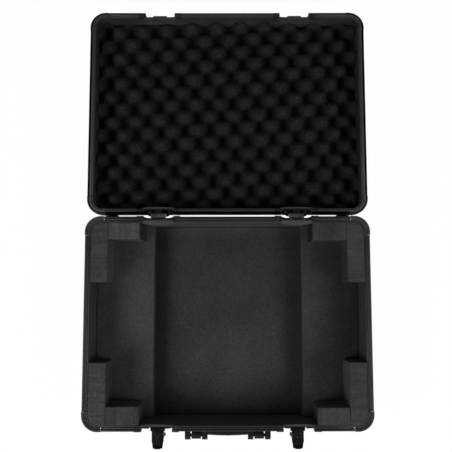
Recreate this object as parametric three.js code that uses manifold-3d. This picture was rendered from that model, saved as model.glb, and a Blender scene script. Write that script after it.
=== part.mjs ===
// Equipment case lying open: a moulded base and lid, each with a rim frame of straight lengths
// and corner pieces, two hinges, two double-throw latches, a bail handle and a foam lining.
// Millimetres, +Z up. The origin is the middle of the base's underside, +Y is the hinge side.
import * as THREE from 'three';
import { mergeVertices } from 'three/addons/utils/BufferGeometryUtils.js';
import Module from 'manifold-3d';

const wasm = await Module();
wasm.setup();

// Whole case
const caseWidth = 550;
const caseDepth = 406;
const baseHeight = 125;
const lidHeight = 70;
const lidSideInset = 2.5;
const outlineRadius = 30;
const hingeGap = 4;

// Clearances
const seatGap = 0.3;
const runningGap = 0.5;
const overrun = 30;

// Shells
const baseWall = 4;
const lidWall = 3.5;
const bottomRadius = 15;
const padDrop = 0.5;

// Rim frame: a skirt outside the wall and a web over the wall's top
const baseRimWidth = 10.6;
const lidRimWidth = 11.6;
const skirtThickness = 3;
const skirtHeight = 20;
const ledgeDrop = 4.5;
const webThickness = 3.5;
const tongueInset = 4.8;
const tongueThickness = 2.8;
const tongueHeight = 3.4;
const cornerReach = 36.5;
const cornerProud = 0.5;
const endBlockLength = 13;
const endBlockProud = 0.8;

// Fixture places along the front and the rear, and the notches in the rims there
const fixtureOffset = 134;
const notchWidth = 58;
const pocketSide = 2.5;
const bulgeHalfWidth = 35;
const bulgeFullness = 0.62;
const baseHingeDepth = 8;
const lidHingeDepth = 11;
const hingePocketHeight = 25;
const latchPocketDepth = 9;
const latchPocketHeight = 62;
const strikePocketHeight = 22;
const baseHingeBulge = 6.1;
const lidHingeBulge = 2.6;
const baseLatchBulge = 2.6;
const lidLatchBulge = 1.4;

// Hinge
const knuckleRadius = 4.5;
const hingePinRadius = 1.8;
const midKnuckleWidth = 14;
const sideKnuckleWidth = 7;
const baseLeafThickness = 4;
const lidLeafThickness = 2.5;
const leafHeight = 18;
const leafTopDrop = 4;
const hingeArmThickness = 3;
const hingeWebThickness = 3;

// Latch
const armWidth = 22.5;
const armTipWidth = 15;
const armLength = 36;
const armTaperLength = 13;
const armThickness = 7;
const armFloor = 3;
const armRail = 2.2;
const armRootLength = 9.5;
const armPivotDrop = 28;
const armPivotStandOff = 6.6;
const armPinRadius = 1.7;
const toothThickness = 3;
const plateThickness = 2.7;
const plateTopDrop = 8;
const plateHeight = 48;
const cheekThickness = 2.2;
const cheekHeight = 15;
const cheekTip = 4.6;
const leverLength = 39;
const leverThickness = 2.6;
const leverPivotReach = 17.2;
const leverKnuckleRadius = 2.4;
const leverLugThickness = 2.4;
const leverPinRadius = 1.1;
const leverLipDepth = 4;
const strikeWidth = 27;
const strikeThickness = 2;
const strikeHeight = 16;
const strikeBarHeight = 3.6;
const strikeWindowHeight = 6;

// Handle
const handleSpan = 121.5;
const barrelWidth = 18.2;
const barrelRadius = 7;
const earWidth = 10.5;
const earSideGap = 2.2;
const earRadius = 8.5;
const handlePivotDrop = 40;
const handleStandOff = 21.3;
const stubRadius = 3;
const bracketThickness = 4;
const bracketHeight = 36;
const handleReach = 40;
const handleArmThickness = 9;
const gripEndRadius = 7.5;
const gripMidRadius = 10;

// Rear feet
const footSideInset = 44.4;
const footWidth = 21;
const footHeight = 38;
const footTopDrop = 29;
const footStandOff = 14.6;
const footEdge = 4;

// Foam lining
const floorPadThickness = 12.7;
const floorPadEdgeShare = 0.85;
const riserWidth = 114.2;
const riserHeight = 35.5;
const blockTopDrop = 1.9;
const sideArmWidth = 33;
const sideArmLength = 116;
const endArmWidth = 32.5;
const lidSheetThickness = 14;
const lidSheetEdgeShare = 0.9;
const bumpHeight = 28;
const bumpPitchX = 49.8;
const bumpPitchY = 52.5;
const bumpTurnDegrees = 3.45;
const bumpShiftX = -14.4;
const bumpShiftY = -1.2;
const bumpTopShare = 0.34;
const lidFoamGap = 1;

// Facets
const cornerSteps = 5;
const edgeSteps = 4;
const foamCornerSteps = 2;
const foamEdgeSteps = 1;
const bulgeSteps = 8;
const rodSides = 16;
const pinSides = 12;
const gripSides = 12;
const gripRings = 8;
const mergeDistance = 1e-4;
const halfTurn = 180;

// A curve whose two control points stand equally far out reaches this share of their distance
const curvePeakShare = 0.75;

// Places that follow from the sizes above
const baseHalfX = caseWidth / 2;
const lidHalfX = baseHalfX - lidSideInset;
const halfY = caseDepth / 2;
const baseFloor = -baseHeight + baseWall;
const floorPadTop = baseFloor + seatGap + floorPadThickness;
const riserTop = floorPadTop + seatGap + riserHeight;
const blockTop = -blockTopDrop;
const lidFloor = -lidHeight + lidWall;
const hingeAxisY = halfY + hingeGap / 2;
const latchPocketBack = halfY - latchPocketDepth;
const armPivotY = -(latchPocketBack + seatGap + plateThickness + armPivotStandOff);
const handlePivotY = -(halfY - baseRimWidth + baseWall + handleStandOff);
const footOffset = baseHalfX - footSideInset;
const endArmInnerX = fixtureOffset + bulgeHalfWidth + seatGap;
const pocketWidth = notchWidth - 2 * pocketSide;
const hingeWebTop = -knuckleRadius - runningGap;
const hingeWebLow = hingeWebTop - hingeWebThickness;
const latchBackY = -latchPocketBack - seatGap;
const toothHeight = latchBackY - runningGap - armPivotY - armThickness / 2;
const leverLugInner = armWidth / 2 - leverLugThickness - armRail;
const leverPivotY = armPivotY - leverPivotReach;
const leverPivotZ = -armPivotDrop - armThickness / 2 - leverKnuckleRadius;

const mouldedBlack = () => new THREE.MeshStandardMaterial({ color: 0x232325, roughness: 0.6, metalness: 0 });
const rimBlack = () => new THREE.MeshStandardMaterial({ color: 0x303134, roughness: 0.42, metalness: 0 });
const latchBlack = () => new THREE.MeshStandardMaterial({ color: 0x2b2c2e, roughness: 0.5, metalness: 0 });
const darkSteel = () => new THREE.MeshStandardMaterial({ color: 0x3a3b3d, roughness: 0.4, metalness: 0.8 });
const brightSteel = () => new THREE.MeshStandardMaterial({ color: 0x9a9c9e, roughness: 0.3, metalness: 1 });
const footBlack = () => new THREE.MeshStandardMaterial({ color: 0x1a1a1b, roughness: 0.8, metalness: 0 });
const planeFoam = () => new THREE.MeshStandardMaterial({ color: 0x3a3c3f, roughness: 0.95, metalness: 0 });
const bumpFoam = () => new THREE.MeshStandardMaterial({ color: 0x1c1d1f, roughness: 1, metalness: 0 });

// A closed geometry as a solid that can be joined and cut
function solidOf(geometry) {
  geometry.deleteAttribute('normal');
  geometry.deleteAttribute('uv');
  const merged = mergeVertices(geometry, mergeDistance);
  const vertProperties = new Float32Array(merged.attributes.position.array);
  const triVerts = new Uint32Array(merged.index.array);
  return new wasm.Manifold(new wasm.Mesh({ numProp: 3, vertProperties, triVerts }));
}

function namedMesh(name, solid, material) {
  const cut = solid.getMesh();
  const geometry = new THREE.BufferGeometry();
  const places = new Float32Array(cut.vertProperties);
  geometry.setAttribute('position', new THREE.BufferAttribute(places, cut.numProp));
  geometry.setIndex(new THREE.BufferAttribute(new Uint32Array(cut.triVerts), 1));
  geometry.computeVertexNormals();
  const mesh = new THREE.Mesh(geometry, material);
  mesh.name = name;
  return mesh;
}

function joined(...solids) {
  return solids.reduce((whole, piece) => whole.add(piece));
}

function boxBetween(xLow, xHigh, yLow, yHigh, zLow, zHigh) {
  const geometry = new THREE.BoxGeometry(xHigh - xLow, yHigh - yLow, zHigh - zLow);
  geometry.translate((xLow + xHigh) / 2, (yLow + yHigh) / 2, (zLow + zHigh) / 2);
  return solidOf(geometry);
}

// A rectangle with round corners, as a closed outline
function roundedOutline(outline, halfX, halfLength, radius) {
  const quarter = Math.PI / 2;
  const x = halfX - radius;
  const y = halfLength - radius;
  outline.absarc(x, y, radius, 0, quarter);
  outline.absarc(-x, y, radius, quarter, 2 * quarter);
  outline.absarc(-x, -y, radius, 2 * quarter, 3 * quarter);
  outline.absarc(x, -y, radius, 3 * quarter, 4 * quarter);
  outline.closePath();
  return outline;
}

function raised(shape, zLow, zHigh, curveSegments = cornerSteps) {
  const depth = zHigh - zLow;
  const geometry = new THREE.ExtrudeGeometry(shape, { depth, bevelEnabled: false, curveSegments });
  geometry.translate(0, 0, zLow);
  return solidOf(geometry);
}

function prism(halfX, halfLength, radius, zLow, zHigh) {
  return raised(roundedOutline(new THREE.Shape(), halfX, halfLength, radius), zLow, zHigh);
}

// A frame between two insets from an outline, positive insets lying inside it
function frame(halfX, insetOut, insetIn, zLow, zHigh) {
  const place = inset => [halfX - inset, halfY - inset, outlineRadius - inset];
  const shape = roundedOutline(new THREE.Shape(), ...place(insetOut));
  shape.holes.push(roundedOutline(new THREE.Path(), ...place(insetIn)));
  return raised(shape, zLow, zHigh);
}

// A block whose lower and upper edges are rounded, or bevelled where bevelSegments is one
function roundedBlock(halfX, halfLength, radius, zLow, zHigh, edge, bevelSegments, curveSegments) {
  const shape = roundedOutline(new THREE.Shape(), halfX, halfLength, radius);
  const geometry = new THREE.ExtrudeGeometry(shape, {
    depth: zHigh - zLow - 2 * edge,
    bevelEnabled: true,
    bevelThickness: edge,
    bevelSize: edge,
    bevelOffset: -edge,
    bevelSegments,
    curveSegments,
  });
  geometry.translate(0, 0, zLow + edge);
  return solidOf(geometry);
}

function rodAlongX(radius, xLow, xHigh, y, z, sides = rodSides) {
  const geometry = new THREE.CylinderGeometry(radius, radius, xHigh - xLow, sides);
  geometry.rotateZ(Math.PI / 2);
  geometry.translate((xLow + xHigh) / 2, y, z);
  return solidOf(geometry);
}

// An outline in Y and Z carried along X
function outlineAlongX(points, xLow, xHigh) {
  const shape = new THREE.Shape(points.map(([y, z]) => new THREE.Vector2(y, z)));
  const geometry = new THREE.ExtrudeGeometry(shape, { depth: xHigh - xLow, bevelEnabled: false });
  const toYZ = new THREE.Matrix4().makeBasis(
    new THREE.Vector3(0, 1, 0),
    new THREE.Vector3(0, 0, 1),
    new THREE.Vector3(1, 0, 0),
  );
  geometry.applyMatrix4(toYZ);
  geometry.translate(xLow, 0, 0);
  return solidOf(geometry);
}

function turned(solid, degrees) {
  return solid.rotate([0, 0, degrees]);
}

// Each half is made with its rim plane at z = 0, its hollow below, and the hinge side at +Y
const baseHalf = {
  name: 'base',
  halfX: baseHalfX,
  height: baseHeight,
  wall: baseWall,
  rimWidth: baseRimWidth,
  skirtTop: 0,
  webTop: -ledgeDrop,
  hasTongue: false,
  hingePocket: { depth: baseHingeDepth, height: hingePocketHeight, bulge: baseHingeBulge },
  latchPocket: { depth: latchPocketDepth, height: latchPocketHeight, bulge: baseLatchBulge },
};

const lidHalf = {
  name: 'lid',
  halfX: lidHalfX,
  height: lidHeight,
  wall: lidWall,
  rimWidth: lidRimWidth,
  skirtTop: -seatGap,
  webTop: -seatGap,
  hasTongue: true,
  hingePocket: { depth: lidHingeDepth, height: hingePocketHeight, bulge: lidHingeBulge },
  latchPocket: { depth: latchPocketDepth, height: strikePocketHeight, bulge: lidLatchBulge },
};

// The wall swells inwards behind each pocket
function bulgeSolid(half, pocket, centreX) {
  const inner = halfY - half.rimWidth;
  const shape = new THREE.Shape();
  const controlY = inner - pocket.bulge / curvePeakShare;
  const controlX = bulgeHalfWidth * bulgeFullness;
  shape.moveTo(-bulgeHalfWidth, inner + half.wall / 2);
  shape.lineTo(-bulgeHalfWidth, inner);
  shape.bezierCurveTo(-controlX, controlY, controlX, controlY, bulgeHalfWidth, inner);
  shape.lineTo(bulgeHalfWidth, inner + half.wall / 2);
  shape.closePath();
  const low = -pocket.height - half.wall;
  return raised(shape, low, half.skirtTop - padDrop, bulgeSteps).translate([centreX, 0, 0]);
}

function pocketCutter(pocket, centreX) {
  const side = pocketWidth / 2;
  return boxBetween(centreX - side, centreX + side, halfY - pocket.depth, halfY + overrun,
    -pocket.height, overrun);
}

// Calls make(pocket, centreX) for the four fixture places and turns those of the latch side round
function atFixtures(half, make) {
  const places = [];
  for (const centreX of [-fixtureOffset, fixtureOffset]) {
    places.push(make(half.hingePocket, centreX));
    places.push(turned(make(half.latchPocket, centreX), halfTurn));
  }
  return joined(...places);
}

function notchColumns(halfWidth) {
  const reach = halfY + overrun;
  return joined(...[-fixtureOffset, fixtureOffset].map(centreX =>
    boxBetween(centreX - halfWidth, centreX + halfWidth, -reach, reach, -2 * overrun, 2 * overrun)));
}

function shellSolid(half) {
  const outer = half.rimWidth - half.wall;
  const top = half.skirtTop - padDrop;
  const innerRadius = bottomRadius - half.wall;
  const block = roundedBlock(half.halfX - outer, halfY - outer, outlineRadius - outer,
    -half.height, overrun, bottomRadius, edgeSteps, cornerSteps);
  const inner = half.rimWidth;
  const hollow = roundedBlock(half.halfX - inner, halfY - inner, outlineRadius - inner,
    -half.height + half.wall, 2 * overrun, innerRadius, edgeSteps, cornerSteps);
  const above = boxBetween(-half.halfX, half.halfX, -halfY, halfY, top, 2 * overrun);
  const shoulderLow = half.webTop - webThickness - seatGap;
  const shoulder = frame(half.halfX, -overrun, inner, shoulderLow, 2 * overrun)
    .subtract(notchColumns(notchWidth / 2 - seatGap));
  const bulges = atFixtures(half, (pocket, x) => bulgeSolid(half, pocket, x));
  const pockets = atFixtures(half, pocketCutter);
  return block.subtract(hollow).add(bulges).subtract(above).subtract(shoulder).subtract(pockets);
}

function rimFrame(half, proud) {
  const inner = half.rimWidth - seatGap;
  const skirt = frame(half.halfX, -proud, skirtThickness, -skirtHeight, half.skirtTop);
  const web = frame(half.halfX, -proud, inner, half.webTop - webThickness, half.webTop);
  const plain = skirt.add(web);
  if (!half.hasTongue) return plain;
  const root = half.webTop - webThickness;
  return plain.add(frame(half.halfX, tongueInset, tongueInset + tongueThickness, root, tongueHeight));
}

// The rim frame cut into four corner pieces and eight straight lengths
function rimMeshes(half, nameOf) {
  const plain = rimFrame(half, 0);
  const proudCorner = rimFrame(half, cornerProud);
  const proudEnd = rimFrame(half, endBlockProud);
  const farX = half.halfX + overrun;
  const farY = halfY + overrun;
  const cornerX = half.halfX - cornerReach;
  const cornerY = halfY - cornerReach;
  const notchOut = fixtureOffset + notchWidth / 2;
  const notchIn = fixtureOffset - notchWidth / 2;
  const slice = (whole, xLow, xHigh, yLow, yHigh) =>
    whole.intersect(boxBetween(xLow, xHigh, yLow, yHigh, -2 * overrun, overrun));
  const meshes = [];
  const add = (piece, xSign, ySign, solid) => {
    meshes.push(namedMesh(nameOf(piece, xSign, ySign), solid, rimBlack()));
  };
  for (const xSign of [-1, 1]) {
    const spanX = (from, to) => (xSign > 0 ? [from, to] : [-to, -from]);
    add('side', xSign, 0, slice(plain, ...spanX(cornerX, farX), -cornerY + seatGap, cornerY - seatGap));
    for (const ySign of [-1, 1]) {
      const spanY = (from, to) => (ySign > 0 ? [from, to] : [-to, -from]);
      const outY = spanY(cornerY, farY);
      add('corner', xSign, ySign, slice(proudCorner, ...spanX(cornerX, farX), ...outY));
      const short = slice(plain, ...spanX(notchOut, cornerX - seatGap), ...outY);
      const block = slice(proudEnd, ...spanX(notchOut, notchOut + endBlockLength), ...outY);
      add('outer', xSign, ySign, short.add(block));
    }
  }
  for (const ySign of [-1, 1]) {
    const outY = ySign > 0 ? [cornerY, farY] : [-farY, -cornerY];
    const long = slice(plain, -notchIn, notchIn, ...outY);
    const left = slice(proudEnd, -notchIn, -notchIn + endBlockLength, ...outY);
    const right = slice(proudEnd, notchIn - endBlockLength, notchIn, ...outY);
    add('middle', 0, ySign, joined(long, left, right));
  }
  return meshes;
}

// The lid is turned half round to lie behind the base, so its left and right change places
function rimName(half, flip) {
  return (piece, xSign, ySign) => {
    const side = { '-1': 'left', 0: '', 1: 'right' }[String(xSign * flip)];
    const end = { '-1': 'front', 0: '', 1: 'rear' }[String(ySign)];
    const words = { side: 'rim', corner: 'corner', outer: 'rim', middle: 'rim' }[piece];
    return [half.name, words, end, piece === 'middle' ? 'middle' : side].filter(Boolean).join('_');
  };
}

function halfGroup(half, flip) {
  const group = new THREE.Group();
  group.add(namedMesh(`${half.name}_shell`, shellSolid(half), mouldedBlack()));
  group.add(...rimMeshes(half, rimName(half, flip)));
  return group;
}

// Foam

function lFoamMeshes() {
  const halfIn = baseHalfX - baseRimWidth - seatGap;
  const deepIn = halfY - baseRimWidth - seatGap;
  const radius = outlineRadius - baseRimWidth - seatGap;
  const low = riserTop + seatGap;
  const wholeBay = prism(halfIn, deepIn, radius, low, blockTop);
  const meshes = [];
  for (const [xSign, side] of [[-1, 'left'], [1, 'right']]) {
    for (const [ySign, end] of [[-1, 'front'], [1, 'rear']]) {
      const spanX = (from, to) => (xSign > 0 ? [from, to] : [-to, -from]);
      const spanY = (from, to) => (ySign > 0 ? [from, to] : [-to, -from]);
      const armEdge = halfIn - sideArmWidth;
      const sideArm = wholeBay.intersect(
        boxBetween(...spanX(armEdge, halfIn), ...spanY(deepIn - sideArmLength, deepIn), low, blockTop));
      const endArm = boxBetween(...spanX(endArmInnerX, armEdge - seatGap),
        ...spanY(deepIn - endArmWidth, deepIn), low, blockTop);
      meshes.push(namedMesh(`foam_side_block_${end}_${side}`, sideArm, planeFoam()));
      meshes.push(namedMesh(`foam_end_block_${end}_${side}`, endArm, planeFoam()));
    }
  }
  return meshes;
}

function riserMeshes() {
  const halfIn = baseHalfX - baseRimWidth - seatGap;
  const deepIn = halfY - baseRimWidth - seatGap;
  const radius = outlineRadius - baseRimWidth - seatGap;
  const whole = prism(halfIn, deepIn, radius, floorPadTop + seatGap, riserTop);
  const reach = deepIn + overrun;
  const right = whole.intersect(
    boxBetween(halfIn - riserWidth, halfIn + overrun, -reach, reach, floorPadTop, riserTop + seatGap));
  return [
    namedMesh('foam_riser_right', right, planeFoam()),
    namedMesh('foam_riser_left', turned(right, halfTurn), planeFoam()),
  ];
}

// The pad lies on the floor, bevelled below where the shell's inside is rounded
function floorPadMesh() {
  const inset = baseRimWidth + seatGap;
  const place = [baseHalfX - inset, halfY - inset, outlineRadius - inset];
  const bottomEdge = Math.min(bottomRadius - baseWall, floorPadThickness * floorPadEdgeShare);
  const low = baseFloor + seatGap;
  const blank = roundedBlock(...place, low, overrun, bottomEdge, foamEdgeSteps, cornerSteps);
  const pad = blank.intersect(boxBetween(-baseHalfX, baseHalfX, -halfY, halfY, baseFloor, floorPadTop));
  return namedMesh('foam_floor_pad', pad, planeFoam());
}

// Closes a sheet of triangles with walls from its open edges down to a flat bottom
function closedDown(positions, low) {
  const key = point => point.map(value => value.toFixed(3)).join(' ');
  const open = new Map();
  for (let at = 0; at < positions.length; at += 9) {
    const corners = [0, 3, 6].map(shift => positions.slice(at + shift, at + shift + 3));
    corners.forEach((point, k) => {
      const next = corners[(k + 1) % 3];
      if (!open.delete(`${key(next)}|${key(point)}`)) open.set(`${key(point)}|${key(next)}`, [point, next]);
    });
  }
  const centre = [0, 0, low];
  for (const [a, b] of open.values()) {
    const aLow = [a[0], a[1], low];
    const bLow = [b[0], b[1], low];
    positions.push(...b, ...a, ...aLow, ...b, ...aLow, ...bLow, ...bLow, ...aLow, ...centre);
  }
  const geometry = new THREE.BufferGeometry();
  geometry.setAttribute('position', new THREE.Float32BufferAttribute(positions, 3));
  return solidOf(geometry);
}

// Egg-crate sheet: bumps with square tops stand on every other point of a lattice of half pitches,
// joined corner to corner by ridges, and hollows lie on the points between
function bumpSheet(halfX, halfLength) {
  const stepX = bumpPitchX / 2;
  const stepY = bumpPitchY / 2;
  const countX = Math.ceil(halfX / stepX) + 1;
  const countY = Math.ceil(halfLength / stepY) + 1;
  const valley = lidSheetThickness;
  const top = lidSheetThickness + bumpHeight;
  const positions = [];
  const face = (...corners) => corners.forEach(point => positions.push(...point));
  const isTop = (i, j) => (i + j) % 2 === 0;
  const corner = (i, j, towardX, towardY) => {
    if (!isTop(i, j)) return [i * stepX, j * stepY, valley];
    return [(i + towardX * bumpTopShare) * stepX, (j + towardY * bumpTopShare) * stepY, top];
  };
  for (let i = -countX; i < countX; i += 1) {
    for (let j = -countY; j < countY; j += 1) {
      const around = [corner(i, j, 1, 1), corner(i + 1, j, -1, 1),
        corner(i + 1, j + 1, -1, -1), corner(i, j + 1, 1, -1)];
      const start = isTop(i, j) ? 0 : 1;
      const [a, b, c, d] = [0, 1, 2, 3].map(k => around[(start + k) % 4]);
      face(a, b, c);
      face(a, c, d);
    }
  }
  const inside = (i, j) => Math.abs(i) <= countX && Math.abs(j) <= countY;
  const besides = [[0, -1], [1, 0], [0, 1], [-1, 0]];
  for (let i = -countX; i <= countX; i += 1) {
    for (let j = -countY; j <= countY; j += 1) {
      if (!isTop(i, j)) continue;
      const cap = [corner(i, j, -1, -1), corner(i, j, 1, -1), corner(i, j, 1, 1), corner(i, j, -1, 1)];
      face(cap[0], cap[1], cap[2]);
      face(cap[0], cap[2], cap[3]);
      besides.forEach(([di, dj], k) => {
        if (inside(i + di, j + dj)) face(cap[k], corner(i + di, j + dj, 0, 0), cap[(k + 1) % 4]);
      });
    }
  }
  return closedDown(positions, 0);
}

function lidFoamMesh() {
  const inset = lidRimWidth + lidFoamGap;
  const place = [lidHalfX - inset, halfY - inset, outlineRadius - inset];
  const turn = THREE.MathUtils.degToRad(bumpTurnDegrees);
  const reach = (a, b) => a * Math.cos(turn) + b * Math.sin(turn) - bumpShiftX;
  const sheet = bumpSheet(reach(place[0], place[1]), reach(place[1], place[0]));
  const low = lidFloor + seatGap;
  const bottomEdge = Math.min(bottomRadius - lidWall, lidSheetThickness * lidSheetEdgeShare);
  const footprint = roundedBlock(...place, low, overrun, bottomEdge, foamEdgeSteps, foamCornerSteps);
  const foam = turned(sheet, bumpTurnDegrees).translate([bumpShiftX, bumpShiftY, low]).intersect(footprint);
  const bulgeRoom = atFixtures(lidHalf, (pocket, x) => {
    const wider = { ...pocket, bulge: pocket.bulge + lidFoamGap, height: pocket.height + seatGap };
    return bulgeSolid(lidHalf, wider, x);
  });
  return namedMesh('lid_foam', foam.subtract(bulgeRoom), bumpFoam());
}

// Hinges: the base's leaf carries the two outer knuckles, and the lid's leaf the one between them

function knuckleWithArm(leafBack, xLow, xHigh) {
  const knuckle = rodAlongX(knuckleRadius, xLow, xHigh, hingeAxisY, 0);
  const armTop = -knuckleRadius + hingeArmThickness;
  const arm = boxBetween(xLow, xHigh, leafBack, hingeAxisY, hingeWebLow, armTop);
  const bore = rodAlongX(hingePinRadius + seatGap, xLow - overrun, xHigh + overrun, hingeAxisY, 0, pinSides);
  return knuckle.add(arm).subtract(bore);
}

function leafPlate(leafBack, thickness, centreX) {
  const side = pocketWidth / 2 - seatGap;
  return boxBetween(centreX - side, centreX + side, leafBack, leafBack + thickness,
    -leafTopDrop - leafHeight, -knuckleRadius + hingeArmThickness);
}

function baseLeaf(centreX) {
  const back = halfY - baseHingeDepth + seatGap;
  const start = midKnuckleWidth / 2 + seatGap;
  const end = start + sideKnuckleWidth;
  const web = boxBetween(centreX - end, centreX + end, back, hingeAxisY - runningGap,
    hingeWebLow, hingeWebTop);
  return joined(leafPlate(back, baseLeafThickness, centreX), web,
    knuckleWithArm(back, centreX + start, centreX + end),
    knuckleWithArm(back, centreX - end, centreX - start));
}

// The lid's leaf fills its notch with a shelf just below the knuckles
function lidLeaf(centreX) {
  const back = halfY - lidHingeDepth + seatGap;
  const side = pocketWidth / 2 - seatGap;
  const half = midKnuckleWidth / 2;
  const shelf = boxBetween(centreX - side, centreX + side, back, halfY - seatGap, hingeWebLow, hingeWebTop);
  return joined(leafPlate(back, lidLeafThickness, centreX), shelf,
    knuckleWithArm(back, centreX - half, centreX + half));
}

function hingePin(centreX) {
  const half = midKnuckleWidth / 2 + seatGap + sideKnuckleWidth;
  return rodAlongX(hingePinRadius, centreX - half, centreX + half, hingeAxisY, 0, pinSides);
}

// Latches, drawn open: the arm points out to -Y and its pull lever hangs from it

function latchPlate(centreX) {
  const face = latchBackY - plateThickness;
  const top = -plateTopDrop;
  const side = pocketWidth / 2 - seatGap;
  const plate = boxBetween(centreX - side, centreX + side, face, latchBackY, top - plateHeight, top);
  const innerX = armWidth / 2 + seatGap;
  const pivotZ = -armPivotDrop;
  const cheekOutline = [
    [face + runningGap, pivotZ - cheekHeight / 2],
    [armPivotY - cheekTip / 2, pivotZ - cheekHeight / 4],
    [armPivotY - cheekTip, pivotZ],
    [armPivotY - cheekTip / 2, pivotZ + cheekHeight / 4],
    [face + runningGap, pivotZ + cheekHeight / 2],
  ];
  const cheeks = [-1, 1].map(sign => {
    const near = centreX + sign * innerX;
    const far = near + sign * cheekThickness;
    return outlineAlongX(cheekOutline, Math.min(near, far), Math.max(near, far));
  });
  const bore = rodAlongX(armPinRadius + seatGap, centreX - overrun, centreX + overrun,
    armPivotY, pivotZ, pinSides);
  return joined(plate, ...cheeks).subtract(bore);
}

function latchArm(centreX) {
  const high = -armPivotDrop + armThickness / 2;
  const low = high - armThickness;
  const rootY = armPivotY + armThickness / 2;
  const tipY = armPivotY - armLength;
  const plan = new THREE.Shape([
    new THREE.Vector2(armWidth / 2, armPivotY),
    new THREE.Vector2(-armWidth / 2, armPivotY),
    new THREE.Vector2(-armWidth / 2, tipY + armTaperLength),
    new THREE.Vector2(-armTipWidth / 2, tipY),
    new THREE.Vector2(armTipWidth / 2, tipY),
    new THREE.Vector2(armWidth / 2, tipY + armTaperLength),
  ]);
  const blank = raised(plan, low, high);
  const root = rodAlongX(armThickness / 2, -armWidth / 2, armWidth / 2, armPivotY, -armPivotDrop);
  const trayX = armTipWidth / 2 - armRail;
  const tray = boxBetween(-trayX, trayX, tipY + toothThickness, armPivotY - armRootLength,
    low + armFloor, high + overrun);
  const tooth = boxBetween(-trayX, trayX, tipY, tipY + toothThickness, low, high + toothHeight);
  const bore = rodAlongX(armPinRadius + seatGap, -armWidth, armWidth, armPivotY, -armPivotDrop, pinSides);
  const lugs = [-1, 1].map(sign => {
    const near = sign * leverLugInner;
    const far = sign * (leverLugInner + leverLugThickness);
    const [xLow, xHigh] = [Math.min(near, far), Math.max(near, far)];
    const eye = rodAlongX(leverKnuckleRadius, xLow, xHigh, leverPivotY, leverPivotZ, pinSides);
    const web = boxBetween(xLow, xHigh, leverPivotY - leverKnuckleRadius, leverPivotY + leverKnuckleRadius,
      leverPivotZ, low + armFloor / 2);
    return eye.add(web);
  });
  const eyes = rodAlongX(leverPinRadius + seatGap, -armWidth, armWidth, leverPivotY, leverPivotZ, pinSides);
  return joined(blank, root, ...lugs).subtract(tray).add(tooth).subtract(bore).subtract(eyes)
    .translate([centreX, 0, 0]);
}

function armPin(centreX) {
  const half = armWidth / 2 + seatGap + cheekThickness;
  return rodAlongX(armPinRadius, centreX - half, centreX + half, armPivotY, -armPivotDrop, pinSides);
}

// A flap with a finger lip, carried on moulded stubs in the arm's lugs
function pullLever(centreX) {
  const half = leverLugInner - seatGap;
  const outer = leverPivotY - leverThickness / 2;
  const inner = leverPivotY + leverThickness / 2;
  const bottom = leverPivotZ - leverLength;
  const neck = boxBetween(-half, half, outer, inner, leverPivotZ - 2 * leverKnuckleRadius, leverPivotZ);
  const flapTop = leverPivotZ - leverKnuckleRadius - runningGap;
  const flap = boxBetween(-armWidth / 2, armWidth / 2, outer, inner, bottom, flapTop);
  const lip = boxBetween(-armWidth / 2, armWidth / 2, outer - leverLipDepth, inner,
    bottom, bottom + leverThickness);
  const knuckle = rodAlongX(leverKnuckleRadius, -half, half, leverPivotY, leverPivotZ, pinSides);
  const stubHalf = leverLugInner + leverLugThickness;
  const stubs = rodAlongX(leverPinRadius, -stubHalf, stubHalf, leverPivotY, leverPivotZ, pinSides);
  return joined(neck, flap, lip, knuckle, stubs).translate([centreX, 0, 0]);
}

// The keeper on the lid, drawn on the lid's own latch side: the arm's tooth enters its window
function strikePlate(centreX) {
  const barTop = armLength - armPivotDrop - toothThickness - runningGap;
  const high = strikeBarHeight - barTop;
  const side = strikeWidth / 2;
  const plate = boxBetween(centreX - side, centreX + side, latchBackY - strikeThickness, latchBackY,
    high - strikeHeight, high);
  const windowHalf = armTipWidth / 2;
  return plate.subtract(boxBetween(centreX - windowHalf, centreX + windowHalf,
    latchBackY - overrun, latchBackY + overrun, -barTop - strikeWindowHeight, -barTop));
}

// Handle

function handleBracket(sign) {
  const wallFace = -(halfY - baseRimWidth + baseWall) - seatGap;
  const face = wallFace - bracketThickness;
  const barrelX = sign * handleSpan / 2;
  const innerX = barrelWidth / 2 + earSideGap;
  const z = -handlePivotDrop;
  const half = innerX + earWidth;
  const plate = boxBetween(barrelX - half, barrelX + half, face, wallFace,
    z - bracketHeight / 2, z + bracketHeight / 2);
  const ears = [-1, 1].map(side => {
    const near = barrelX + side * innerX;
    const far = near + side * earWidth;
    const [xLow, xHigh] = [Math.min(near, far), Math.max(near, far)];
    const wedge = outlineAlongX([
      [face + runningGap, z - bracketHeight / 2 + runningGap],
      [handlePivotY, z - earRadius],
      [handlePivotY, z + earRadius],
      [face + runningGap, z + earRadius + runningGap],
    ], xLow, xHigh);
    return wedge.add(rodAlongX(earRadius, xLow, xHigh, handlePivotY, z));
  });
  const bore = rodAlongX(stubRadius + seatGap, barrelX - half - overrun, barrelX + half + overrun,
    handlePivotY, z, pinSides);
  return joined(plate, ...ears).subtract(bore);
}

// The bar between the two arms swells towards its middle
function gripBar(halfLength) {
  const radius = gripEndRadius;
  const geometry = new THREE.CylinderGeometry(radius, radius, 2 * halfLength, gripSides, gripRings);
  geometry.rotateZ(Math.PI / 2);
  const places = geometry.attributes.position;
  const extraShare = gripMidRadius / gripEndRadius - 1;
  for (let k = 0; k < places.count; k += 1) {
    const along = places.getX(k) / halfLength;
    places.setY(k, places.getY(k) * (1 + extraShare * Math.cos(along * Math.PI / 2) ** 2));
  }
  return solidOf(geometry);
}

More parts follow.
